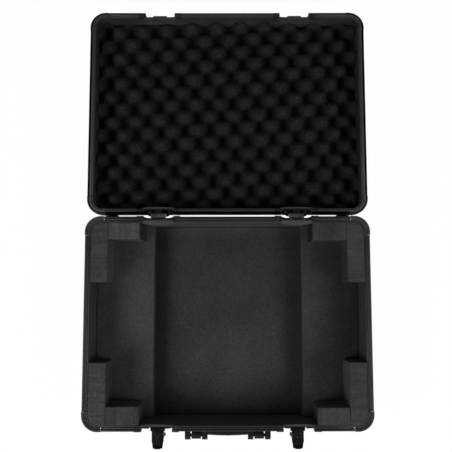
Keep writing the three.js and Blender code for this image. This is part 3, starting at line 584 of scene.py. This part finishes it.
# the sheet's border goes down to a belt and in to a foot, which a fan closes below
def closedSheet(grid, centre, bottom):
    rows, columns = grid.shape[:2]
    border = np.concatenate([np.arange(columns), columns * np.arange(1, rows) + columns - 1,
                             columns * rows - 1 - np.arange(1, columns),
                             columns * np.arange(rows - 2, 0, -1)])
    top = grid.reshape(-1, 3)
    belt, foot = top[border], top[border]
    belt[:, 2] = bottom + crate["bottomEdge"]
    inward = centre - foot[:, :2]
    inward /= np.linalg.norm(inward, axis=1, keepdims=True)
    foot[:, :2] += inward * crate["bottomEdge"]
    foot[:, 2] = bottom
    count, around = len(top), len(border)
    here = np.arange(around)
    after = (here + 1) % around
    loops = [border, count + here, count + around + here]
    faces = gridQuads(rows, columns, wrapped=False).tolist()
    for upper, lower in zip(loops, loops[1:]):
        faces += np.stack([upper, upper[after], lower[after], lower], -1).tolist()
    faces += np.stack([loops[-1], loops[-1][after], np.full(around, count + 2 * around)], -1).tolist()
    return np.vstack([top, belt, foot, [[*centre, bottom]]]), faces


# top = sheet + bumps * uneven + lift - drop + roll, where d is the distance to the edge, r the edge's round,
# lift = edgeLift * (1 - d / liftReach)^2 near the edge and drop = r - sqrt(r^2 - (r - d)^2) in its round
def addLidFoam():
    low, high = (np.array(corner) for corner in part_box("lid_foam"))
    half, centre = (high - low)[:2] / 2 + crate["fuller"], (high + low)[:2] / 2
    x, y, toEdge = sheetGrid(half, crate["rows"], crate["columns"], crate["cornerRadius"])
    world = np.stack([x + centre[0], y + centre[1], np.zeros_like(x)], -1)
    shifted = world + ripple(world, 21, crate["warpLength"], crate["warp"])
    uneven = 1 + ripple(world, 23, crate["unevenLength"], crate["uneven"])[..., 0]
    lift = crate["edgeLift"] * np.clip(1 - toEdge / crate["liftReach"], 0, 1) ** 2
    inRound = np.clip(crate["edgeRound"] - toEdge, 0, None)
    drop = crate["edgeRound"] - np.sqrt(crate["edgeRound"] ** 2 - inRound ** 2)
    roll = ripple(world, 22, crate["rollLength"], crate["roll"])[..., 2]
    world[..., 2] = low[2] + crate["sheet"] + crateBumps(shifted[..., :2]) * uneven + lift - drop + roll
    points, faces = closedSheet(world, centre, low[2])
    piece = addPiece("lid_foam_sheet", points, faces, "crateFoam", "lid")
    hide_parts("lid_foam")
    print("egg-crate sheet ready:", len(points), "points")


# Rim rails

rail = dict(baseHalfX=275 * mm, lidHalfX=272.5 * mm, halfY=203 * mm, radius=30 * mm, rimZ=125 * mm,
            lidMiddleY=410 * mm, cornerReach=36.5 * mm, seam=0.15 * mm, notchHalf=29 * mm,
            blockLength=13 * mm, baseBlockProud=1.1 * mm, lidBlockProud=-0.1 * mm,
            baseCornerProud=0.8 * mm, lidCornerProud=0.5 * mm, middleProud=-0.4 * mm, proudReach=2.9 * mm,
            endDraw=0.5 * mm, cornerSteps=14, baseBlockTone=1.0, lidBlockTone=0.5, sharp=50)
hair = 1e-9  # two places closer than this are one

# points in mm, inwards from the outer face and up from the rim, each with its rounding and its painted
# shade, the light and shadow painted across the rail;
# a list named after a rail's place gives the painted shades there
profiles = dict(
    base=dict(points=[(0, -20), (3, -20), (3, -8), (10.3, -8), (10.3, -4), (8, -4), (7.7, -5.1), (6.7, -5.1),
                      (6.4, -4), (4.6, -4), (2.6, 0), (0, 0)],
              rounds=[0.8, 0.4, 0.3, 0.3, 0.8, 0.4, 0.3, 0.3, 0.4, 0.6, 0.9, 1.0],
              shades=[0.5, 0.5, 0.8, 1.1, 1.5, 1.7, 0.6, 0.6, 1.5, 1.5, 1.1, 1.0],
              side=[0.5, 0.5, 0.5, 0.5, 0.8, 1.1, 0.5, 0.5, 1.3, 1.6, 1.2, 1.1],
              front=[0.5, 0.5, 0.5, 0.5, 0.8, 1.05, 0.35, 0.35, 1.0, 1.15, 0.9, 0.8],
              rear=[0.9, 0.5, 0.5, 0.5, 0.75, 1.0, 0.3, 0.3, 1.2, 0.7, 0.42, 0.38]),
    lid=dict(points=[(0, -20), (3, -20), (3, -3.8), (11.3, -3.8), (11.3, -0.3), (7.6, -0.3), (7.4, 3.4),
                     (5, 3.4), (4.8, -0.3), (0, -0.3), (0, -5.5)],
             rounds=[0.8, 0.4, 0.3, 0.3, 0.9, 0.8, 1.0, 1.0, 0.8, 2.4, 1.0],
             shades=[0.9, 0.5, 0.2, 0.4, 0.85, 1.1, 1.4, 0.9, 0.2, 0.02, 0.8],
             side=[0.9, 0.5, 0.2, 0.4, 0.95, 1.6, 1.8, 0.5, 0.1, 0.02, 0.8],
             rear=[0.9, 0.5, 0.2, 0.4, 0.85, 1.1, 1.3, 0.6, 0.04, 0.01, 0.8],
             rearCorner=[0.9, 0.5, 0.2, 0.4, 1.6, 1.5, 2.6, 2.1, 0.5, 0.3, 0.8]))


def unit(vectors):
    return vectors / np.linalg.norm(vectors, axis=1, keepdims=True)


# each corner of the profile becomes a quadratic curve, (1 - t)^2 start + 2 t (1 - t) corner + t^2 end
def roundProfile(profile, place, steps=5):
    corners = np.array(profile["points"], float) * mm
    rounds = np.array(profile["rounds"])[:, None] * mm
    start = corners + rounds * unit(np.roll(corners, 1, 0) - corners)
    end = corners + rounds * unit(np.roll(corners, -1, 0) - corners)
    t = np.linspace(0, 1, steps)[None, :, None]
    curve = (1 - t) ** 2 * start[:, None] + 2 * t * (1 - t) * corners[:, None] + t ** 2 * end[:, None]
    return curve.reshape(-1, 2), np.repeat(profile.get(place, profile["shades"]), steps)


# the profile is carried along the places, and at both ends it shrinks a little, to a small chamfer;
# inset = the profile's own - proud * (1 - own / proudReach), so that only its outer part stands proud
def railPiece(half, name, places, inwards, proud, place, tone=1.0):
    loop, shades = roundProfile(profiles[half], place)
    shades = np.broadcast_to(tone, len(places))[:, None] * shades
    outer = np.clip(1 - loop[:, 0] / rail["proudReach"], 0, 1)
    along = np.concatenate([[0], np.cumsum(np.linalg.norm(np.diff(places, axis=0), axis=1))])
    shrink = np.where(np.minimum(along, along[-1] - along) < hair, rail["endDraw"], 0)[:, None]
    towards = unit(loop.mean(0) - loop)
    inset = loop[None, :, 0] + shrink * towards[None, :, 0] - outer[None] * proud[:, None]
    height = loop[None, :, 1] + shrink * towards[None, :, 1]
    rings = np.concatenate([places[:, None] + inwards[:, None] * inset[..., None], height[..., None]], -1)
    if half == "lid":
        # the open lid lies turned round behind the base
        rings[..., 0] *= -1
        rings[..., 1] = rail["lidMiddleY"] - rings[..., 1]
    rings[..., 2] += rail["rimZ"]
    count, around = rings.shape[:2]
    faces = gridQuads(count, around).tolist()
    faces += [list(range(around))[::-1], list(range((count - 1) * around, count * around))]
    piece = addPiece(f"{half}_{name}_rail", rings.reshape(-1, 3), faces, "rim", half,
                     sharpDegrees=rail["sharp"], shade=shades.ravel())
    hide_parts(f"{half}_{name}")


# stations along a straight rail from start to end, with close pairs at its ends and at its raised blocks
def straightStations(start, end, blocks, plain=0.0, raised=0.0):
    length, draw = end - start, rail["endDraw"]
    marks = {0.0, draw, length - draw, length}
    for blockStart, blockEnd in blocks:
        marks |= {blockStart, blockEnd, max(0.0, blockStart - draw), min(length, blockEnd + draw)}
    marks = np.array(sorted(marks))
    proud = np.full(len(marks), plain)
    for blockStart, blockEnd in blocks:
        proud[(marks >= blockStart - hair) & (marks <= blockEnd + hair)] = raised
    return start + marks, proud


# a length across the case at its front or rear
def acrossRail(half, end, tag, spots, proud):
    places = np.stack([spots, np.full(len(spots), ends[end] * rail["halfY"])], -1)
    inwards = np.tile([0.0, -ends[end]], (len(spots), 1))
    tone = np.where(proud == rail[f"{half}BlockProud"], rail[f"{half}BlockTone"], 1.0)
    railPiece(half, f"rim_{end}_{tag}", places, inwards, proud, end, tone)


# a quarter circle with a short straight piece before and after it
def cornerRail(half, end, side, own, cornerX, cornerY):
    halfX, halfY, draw = rail[f"{half}HalfX"], rail["halfY"], rail["endDraw"]
    angle = np.radians(np.linspace(0, 90, rail["cornerSteps"]))
    turns = np.stack([np.cos(angle), np.sin(angle)], -1)
    arc = np.array([halfX, halfY]) - rail["radius"] + rail["radius"] * turns
    lead = [[halfX, cornerY], [halfX, cornerY + draw]]
    tail = [[cornerX + draw, halfY], [cornerX, halfY]]
    places = np.vstack([lead, arc, tail]) * [own, ends[end]]
    inwards = np.vstack([[[-1, 0]] * 2, -turns, [[0, -1]] * 2]) * [own, ends[end]]
    proud = np.full(len(places), rail[f"{half}CornerProud"])
    railPiece(half, f"corner_{end}_{side}", places, inwards, proud, f"{end}Corner")


# front is the latch side and rear the hinge side, of the lid too
def addRails(half):
    halfX, block, blockProud = rail[f"{half}HalfX"], rail["blockLength"], rail[f"{half}BlockProud"]
    notchIn, notchOut = fixtureAt - rail["notchHalf"], fixtureAt + rail["notchHalf"]
    cornerX, cornerY = halfX - rail["cornerReach"], rail["halfY"] - rail["cornerReach"]
    seams = 2 * rail["seam"]
    for side, sign in sides.items():
        own = -sign if half == "lid" else sign
        spots, proud = straightStations(seams - cornerY, cornerY - seams, [])
        places = np.stack([np.full(len(spots), own * halfX), spots], -1)
        railPiece(half, f"rim_{side}", places, np.tile([-own, 0.0], (len(spots), 1)), proud, "side")
        for end in ends:
            spots, proud = straightStations(notchOut, cornerX - seams, [(0.0, block)], 0.0, blockProud)
            acrossRail(half, end, side, own * spots, proud)
            cornerRail(half, end, side, own, cornerX, cornerY)
    for end in ends:
        blocks = [(0.0, block), (2 * notchIn - block, 2 * notchIn)]
        spots, proud = straightStations(-notchIn, notchIn, blocks, rail["middleProud"], blockProud)
        acrossRail(half, end, "middle", spots, proud)
    print(half, "rails ready")


# Moulded and metal pieces

softening = dict(merge=2e-6, flatDegrees=0.6, segments=2, sharpDegrees=32)
hingeShades = dict(heights=(0.1215, 0.124, 0.127), shades=(0.25, 1.0, 3.2))
wallShades = dict(sideFrom=0.252, nearFrom=-0.185, side=0.74, near=0.8, far=1.1)

# finish, body, slot and edge rounding in mm of the pieces that are there left and right
hardPieces = dict(
    hinge_base_leaf=("fixture", "base", "fixture_plastic", 0.4),
    hinge_pin=("darkSteel", "base", "bright_steel", 0.3),
    hinge_lid_leaf=("fixture", "lid", "fixture_plastic", 0.4),
    latch_plate=("latch", "base", "fixture_plastic", 0.5),
    latch_arm_pin=("darkSteel", "base", "bright_steel", 0.3),
    latch_arm=("latch", "latch_arm", "fixture_plastic", 0.35),
    latch_pull_lever=("latch", "latch_lever", "fixture_plastic", 0.45),
    lid_strike=("darkSteel", "lid", "dark_steel", 0.3),
    handle_bracket=("fixture", "base", "fixture_plastic", 0.6),
    rear_foot=("foot", "base", "foot_rubber", 1.2))


# the base and the lid are one body each, the latches' bodies are there left and right
def bodyOf(name, side):
    return name if name in ("base", "lid") else f"{name}_{side}"


# painted shade: a hinge is painted dark down in its notch and painted light over its knuckles
def hingePaint(points):
    return np.interp(points[:, 2], hingeShades["heights"], hingeShades["shades"])


# the left and right walls of a shell and the base's near wall get less light than the far walls
def shellPaint(points):
    besides, near = np.abs(points[:, 0]) > wallShades["sideFrom"], points[:, 1] < wallShades["nearFrom"]
    return np.select([besides, near], [wallShades["side"], wallShades["near"]], wallShades["far"])


# the frame's own shape with merged faces, and small rounds or even shading; paint gives each point its shade
def softened(node, finish, body, width, paint=None):
    work = bmesh.new()
    work.from_mesh(nodes[node].data)
    bmesh.ops.remove_doubles(work, verts=work.verts, dist=softening["merge"])
    bmesh.ops.dissolve_limit(work, angle_limit=math.radians(softening["flatDegrees"]), verts=work.verts,
                             edges=work.edges)
    work.verts.index_update()
    points = [vert.co[:] for vert in work.verts]
    faces = [[vert.index for vert in face.verts] for face in work.faces]
    work.free()
    shade = paint(np.array(points)) if paint else 1.0
    piece = addPiece(f"{node}_soft", points, faces, finish, body, shade=shade)
    sharp = math.radians(softening["sharpDegrees"])
    if width:
        rounding = piece.modifiers.new("rounding", "BEVEL")
        rounding.width = width
        rounding.segments = softening["segments"]
        rounding.limit_method = "ANGLE"
        rounding.angle_limit = sharp
        rounding.harden_normals = True
    else:
        piece.data.set_sharp_from_angle(angle=sharp)
        piece.modifiers.new("evenShading", "WEIGHTED_NORMAL").keep_sharp = True
    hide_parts(node)


def addHardPieces():
    softened("base_shell", "shell", "base", 0, shellPaint)
    softened("lid_shell", "lidShell", "lid", 0, shellPaint)
    for side in sides:
        for name, (finish, body, slotName, width) in hardPieces.items():
            paint = hingePaint if name.startswith("hinge") else None
            softened(f"{name}_{side}", finish, bodyOf(body, side), width * mm, paint)
    softened("handle_grip", "fixture", "handle", 0.8 * mm)
    print("hard pieces ready")


# Screws, rivets and clips

headShape = dict(around=24, recess=0.45, recessPoints=4, recessFrom=0.41, recessFloor=0.3, sharp=55,
                 shares=(1, 1, 0.93, 0.78, 0.56, 0.4, 0.34, 0.26),
                 rises=(-0.5, 0.25, 0.55, 0.82, 0.97, 1.0, 0.8, 0.35),
                 driven=False, drawn=(0, 0, 0), finish="darkSteel")
# what differs from that, kind by kind
fasteners = dict(
    screw=dict(radius=2.3 * mm, height=1.2 * mm, driven=True),
    bracketScrew=dict(radius=1.76 * mm, height=1.2 * mm, driven=True),
    armDot=dict(radius=0.8 * mm, height=0.5 * mm),
    rivet=dict(radius=1.1 * mm, height=0.5 * mm, finish="rivetSteel"),
    footClip=dict(radius=1.1 * mm, height=0.5 * mm, drawn=(0, 1.6 * mm, 0), finish="brightSteel"),
    jointClip=dict(radius=0.6 * mm, height=3 * mm, drawn=(0, 0.8 * mm, 0), finish="brightSteel"),
    jointClipFoot=dict(radius=0.6 * mm, height=1 * mm, drawn=(0, 0.8 * mm, 0), finish="brightSteel"),
    jointDot=dict(radius=0.6 * mm, height=3 * mm, drawn=(1.2 * mm, 0, 0), finish="brightSteel"),
    lidJointDot=dict(radius=0.6 * mm, height=0.5 * mm, finish="rivetSteel"))
up, front, rear = (0, 0, 1), (0, -1, 0), (0, 1, 0)


# rings turned round an axis, at shares of the radius and of the height; those of a driven head's recess are
# wide and narrow by 1 + recess * cos(points * angle), and a clip has both halves of each ring drawn apart
def fastener(name, kind, place, axis, body):
    shape = {**headShape, **fasteners[kind]}
    driven = shape["driven"]
    angle = (np.arange(shape["around"]) + 0.5) / shape["around"] * 2 * np.pi
    place, axis = np.array(place), np.array(axis, float)
    side = np.cross(axis, up if axis[1] else rear)
    other = np.cross(axis, side)
    apart = np.sign(np.outer(np.cos(angle), side) + np.outer(np.sin(angle), other)) * shape["drawn"]
    climb = axis * shape["height"]
    rings = []
    for share, rise in zip(shape["shares"], shape["rises"]):
        inner = share < shape["recessFrom"]
        star = 1 + shape["recess"] * np.cos(shape["recessPoints"] * angle) * (driven and inner)
        turned = np.outer(np.cos(angle) * star, side) + np.outer(np.sin(angle) * star, other)
        level = rise if driven or not inner else 1.0
        rings.append(place + turned * shape["radius"] * share + apart + climb * level)
    top = place + climb * (shape["recessFloor"] if driven else 1.0)
    points, faces = ringedSolid(np.array(rings), place + climb * shape["rises"][0], top)
    addPiece(name, points, faces, shape["finish"], body, sharpDegrees=shape["sharp"])


# where they sit: a shift counts from the middle of the fixture or foot, an inset from an outer face,
# and a share is of the piece's own width or height
hingeSpots = dict(
    screw=dict(name="lid_leaf_screw", body="lid", outer=17 * mm, inner=-20.5 * mm, y=0.2122, z=0.12),
    rivet=dict(name="base_leaf_rivet", body="base", outer=15 * mm, inner=-11 * mm, y=0.1969, z=0.1235))
latchSpots = dict(shifts=dict(outer=-20 * mm, inner=20 * mm), plateThickness=2.7 * mm,
                  screwZ=dict(high=0.111, low=0.075), dotShare=0.43, dotY=-0.2036, dotZ=0.1004,
                  rivetShift=-0.5 * mm, rivetY=-0.2188, rivetZ=0.0997)
footSpots = dict(foot_clip=6.1 * mm, foot_dot=-3.8 * mm, topY=0.2086, screwShares=dict(high=0.25, low=0.75))
bracketSpots = dict(shares=dict(left=0.1, right=0.9), inset=4 * mm)
# kind, inset and height
jointSpots = dict(
    joint_clip=("jointClip", 3.3 * mm, 0.122), joint_clip_foot=("jointClipFoot", 6.1 * mm, 0.1204),
    joint_dot=("jointDot", 3.2 * mm, 0.122), lid_joint_dot=("lidJointDot", 4 * mm, 0.1246))


def addHingeFasteners(side, sign):
    for kind, spot in hingeSpots.items():
        for tag in ("outer", "inner"):
            place = (sign * (fixtureAt + spot[tag]), spot["y"], spot["z"])
            fastener(f"{spot['name']}_{side}_{tag}", kind, place, up, spot["body"])


# outer and inner as seen on the left latch
def addLatchFasteners(side, sign):
    x, arm = sign * fixtureAt, f"latch_arm_{side}"
    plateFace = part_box(f"latch_plate_{side}")[1][1] - latchSpots["plateThickness"]
    for tag, shift in latchSpots["shifts"].items():
        for level, z in latchSpots["screwZ"].items():
            place = (x + shift, plateFace, z)
            fastener(f"latch_plate_screw_{side}_{tag}_{level}", "screw", place, front, "base")
        place = (x + shift * latchSpots["dotShare"], latchSpots["dotY"], latchSpots["dotZ"])
        fastener(f"latch_arm_dot_{side}_{tag}", "armDot", place, up, arm)
    place = (x + latchSpots["rivetShift"], latchSpots["rivetY"], latchSpots["rivetZ"])
    fastener(f"latch_arm_rivet_{side}", "rivet", place, up, arm)


def addFootFasteners(side, sign):
    low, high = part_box(f"rear_foot_{side}")
    middle = (low[0] + high[0]) / 2
    for name, kind in (("foot_clip", "footClip"), ("foot_dot", "rivet")):
        place = (middle + sign * footSpots[name], footSpots["topY"], high[2])
        fastener(f"{name}_{side}", kind, place, up, "base")
    for tag, share in footSpots["screwShares"].items():
        place = (middle, high[1], low[2] + share * (high[2] - low[2]))
        fastener(f"foot_screw_{side}_{tag}", "screw", place, rear, "base")


def addBracketScrews(side):
    low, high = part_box(f"handle_bracket_{side}")
    for tag, share in bracketSpots["shares"].items():
        place = (low[0] + share * (high[0] - low[0]), high[1] - bracketSpots["inset"],
                 high[2] - bracketSpots["inset"])
        fastener(f"bracket_screw_{side}_{tag}", "bracketScrew", place, front, "base")


# where corner pieces meet the lengths: clips at the front and rear, dots at the sides; in the groove a clip
# stays below the shut lid's tongue
def addJointClips(side, sign):
    reach = rail["cornerReach"] - rail["seam"]
    for end, along in ends.items():
        for name, (kind, inset, z) in jointSpots.items():
            half = "lid" if name.startswith("lid") else "base"
            x, y = rail[f"{half}HalfX"] - inset, rail["halfY"] - reach
            if "clip" in name:
                x, y = rail["baseHalfX"] - reach, rail["halfY"] - inset
            place = (sign * x, along * y + (rail["lidMiddleY"] if half == "lid" else 0), z)
            fastener(f"{name}_{end}_{side}", kind, place, up, half)


def addFasteners():
    for side, sign in sides.items():
        addHingeFasteners(side, sign)
        addLatchFasteners(side, sign)
        addFootFasteners(side, sign)
        addBracketScrews(side)
        addJointClips(side, sign)
    print("fasteners ready")


# Dark plates

# in the notches, and in and on the latch arms; outlines and heights in mm, x from the fixture's middle
# outwards on both sides, and middle the point from which each outline is filled
darkPlates = dict(
    base_notch_end=dict(body="base", low=112, high=120.8, middle=(27.6, 197.6),
                        outline=[(26.4, 195.8), (28.8, 195.8), (28.8, 199.5), (26.4, 199.5)]),
    lid_notch_end=dict(body="lid", low=112, high=120.8, middle=(27.6, 211),
                       outline=[(26.4, 207.7), (28.8, 207.7), (28.8, 214.6), (26.4, 214.6)]),
    base_notch_strip=dict(body="base", low=112, high=120.5, middle=(20, 199.7),
                          outline=[(14.6, 198.9), (28.4, 198.9), (28.4, 202.6), (21.5, 200.5),
                                   (14.6, 200.5)]),
    lid_notch_strip=dict(body="lid", low=112, high=120.5, middle=(17.5, 208),
                         outline=[(14.6, 203.4), (19.3, 204.6), (20.8, 206.5), (28.4, 206.5), (28.4, 209.5),
                                  (14.6, 209.5)]),
    latch_notch_strip=dict(body="base", low=113, high=122.5, middle=(20, -196.2),
                           outline=[(14.4, -198.2), (28.4, -197.4), (28.4, -194.2), (14.4, -194.2)]),
    latch_arm_inlay=dict(body="latch_arm", low=96.4, high=99.8, middle=(2.6, -224),
                         outline=[(0.1, -236), (5.2, -236), (5.2, -213), (0.1, -213)]),
    latch_arm_tip=dict(body="latch_arm", low=94.2, high=100.3, middle=(7, -236),
                       outline=[(5, -239.5), (9, -239.5), (10.2, -231), (5, -231)]))
plateLook = dict(draw=0.35, sharp=40, notchShade=0.5)


# the outline climbs straight, drawn in at its lower and upper edge
def plateSolid(outline, middle, low, high):
    outline, draw = np.array(outline, float), plateLook["draw"]
    towards = unit(middle - outline)
    rings = [np.column_stack([outline + towards * inset, np.full(len(outline), height)])
             for inset, height in ((draw, low), (0, low + draw), (0, high - draw), (draw, high))]
    return ringedSolid(np.array(rings), [*middle, low], [*middle, high])


def addDarkPlates():
    for side, sign in sides.items():
        for name, plate in darkPlates.items():
            points, faces = plateSolid(plate["outline"], plate["middle"], plate["low"], plate["high"])
            # the notch plates are painted half as dark, a painted shade down in the notches
            finish, slotName, shade = "foot", "foot_rubber", plateLook["notchShade"]
            if "latch" in name:
                finish, slotName, shade = "latch", "fixture_plastic", 1.0
            for end, along in (("outer", 1), ("inner", -1)):
                placed = points * mm * [sign * along, 1, 1] + [sign * fixtureAt, 0, 0]
                addPiece(f"{name}_{side}_{end}", placed, faces, finish, bodyOf(plate["body"], side),
                         sharpDegrees=plateLook["sharp"], shade=shade)
    print("dark plates ready")


# Stage and light

lighting = dict(world=0.11, white=0.985, aim=(0, 0.1, 0.1), floorHalf=6, floorTone=0.9, floorRoughness=0.9,
                boxes=dict(left=dict(place=(-1.35, -0.6, 1.35), size=(0.8, 0.9), power=29),
                           right=dict(place=(1.75, -0.55, 1.5), size=(0.9, 0.9), power=33),
                           front=dict(place=(0, -2.2, 0.9), size=(1.2, 0.5), power=9)))


# a softbox turned to the case, its first side level
def addSoftbox(name, place, size, power):
    data = bpy.data.lights.new(name, "AREA")
    data.shape = "RECTANGLE"
    data.size, data.size_y = size
    data.energy = power
    back = np.subtract(place, lighting["aim"])
    back /= np.linalg.norm(back)
    level = np.array([1, 0, 0]) - back[0] * back
    level /= np.linalg.norm(level)
    addTurned(name, data, place, [level, np.cross(back, level), back])


# 1 where the camera, a reflection or clear material looks at the surface, 0 where its light falls on others
def seenDirectly(tree):
    path = addNode(tree, "ShaderNodeLightPath")
    either = math2(tree, "MAXIMUM", path.outputs["Is Camera Ray"], path.outputs["Is Glossy Ray"])
    return math2(tree, "MAXIMUM", either, path.outputs["Is Transmission Ray"])


# white where it is seen, with a little of its own surface, which keeps the case's shadow
def addFloor():
    mesh = bpy.data.meshes.new("studioFloor")
    corners = np.array([(-1, -1, 0), (1, -1, 0), (1, 1, 0), (-1, 1, 0)]) * lighting["floorHalf"]
    mesh.from_pydata(corners.tolist(), [], [(0, 1, 2, 3)])
    floor = bpy.data.objects.new("studioFloor", mesh)
    bpy.context.scene.collection.objects.link(floor)
    material = bpy.data.materials.new("paleFloor")
    material.use_nodes = True
    tree = material.node_tree
    shader = feed(tree, tree.nodes["Principled BSDF"], {"Base Color": grey(lighting["floorTone"]),
                                                        "Roughness": lighting["floorRoughness"]})
    white = addNode(tree, "ShaderNodeEmission", {"Strength": 1.0})
    share = math2(tree, "MULTIPLY", seenDirectly(tree), lighting["white"])
    mix = addNode(tree, "ShaderNodeMixShader", {0: share, 1: shader.outputs[0], 2: white.outputs[0]})
    feed(tree, tree.nodes["Material Output"], {"Surface": mix.outputs[0]})
    mesh.materials.append(material)


def addStage():
    addFloor()
    world = bpy.data.worlds.new("studioWorld")
    world.use_nodes = True
    tree = world.node_tree
    strength = spread(tree, seenDirectly(tree), (0, 1), (lighting["world"], 1))
    feed(tree, tree.nodes["Background"], {"Strength": strength, "Color": (1, 1, 1, 1)})
    bpy.context.scene.world = world
    for name, box in lighting["boxes"].items():
        addSoftbox(f"{name}Softbox", **box)
    bpy.context.scene.view_settings.view_transform = "Standard"
    print("stage ready")


addCamera()
addStage()
addBaseFoam()
addLidFoam()
addRails("base")
addRails("lid")
addHardPieces()
addFasteners()
addDarkPlates()
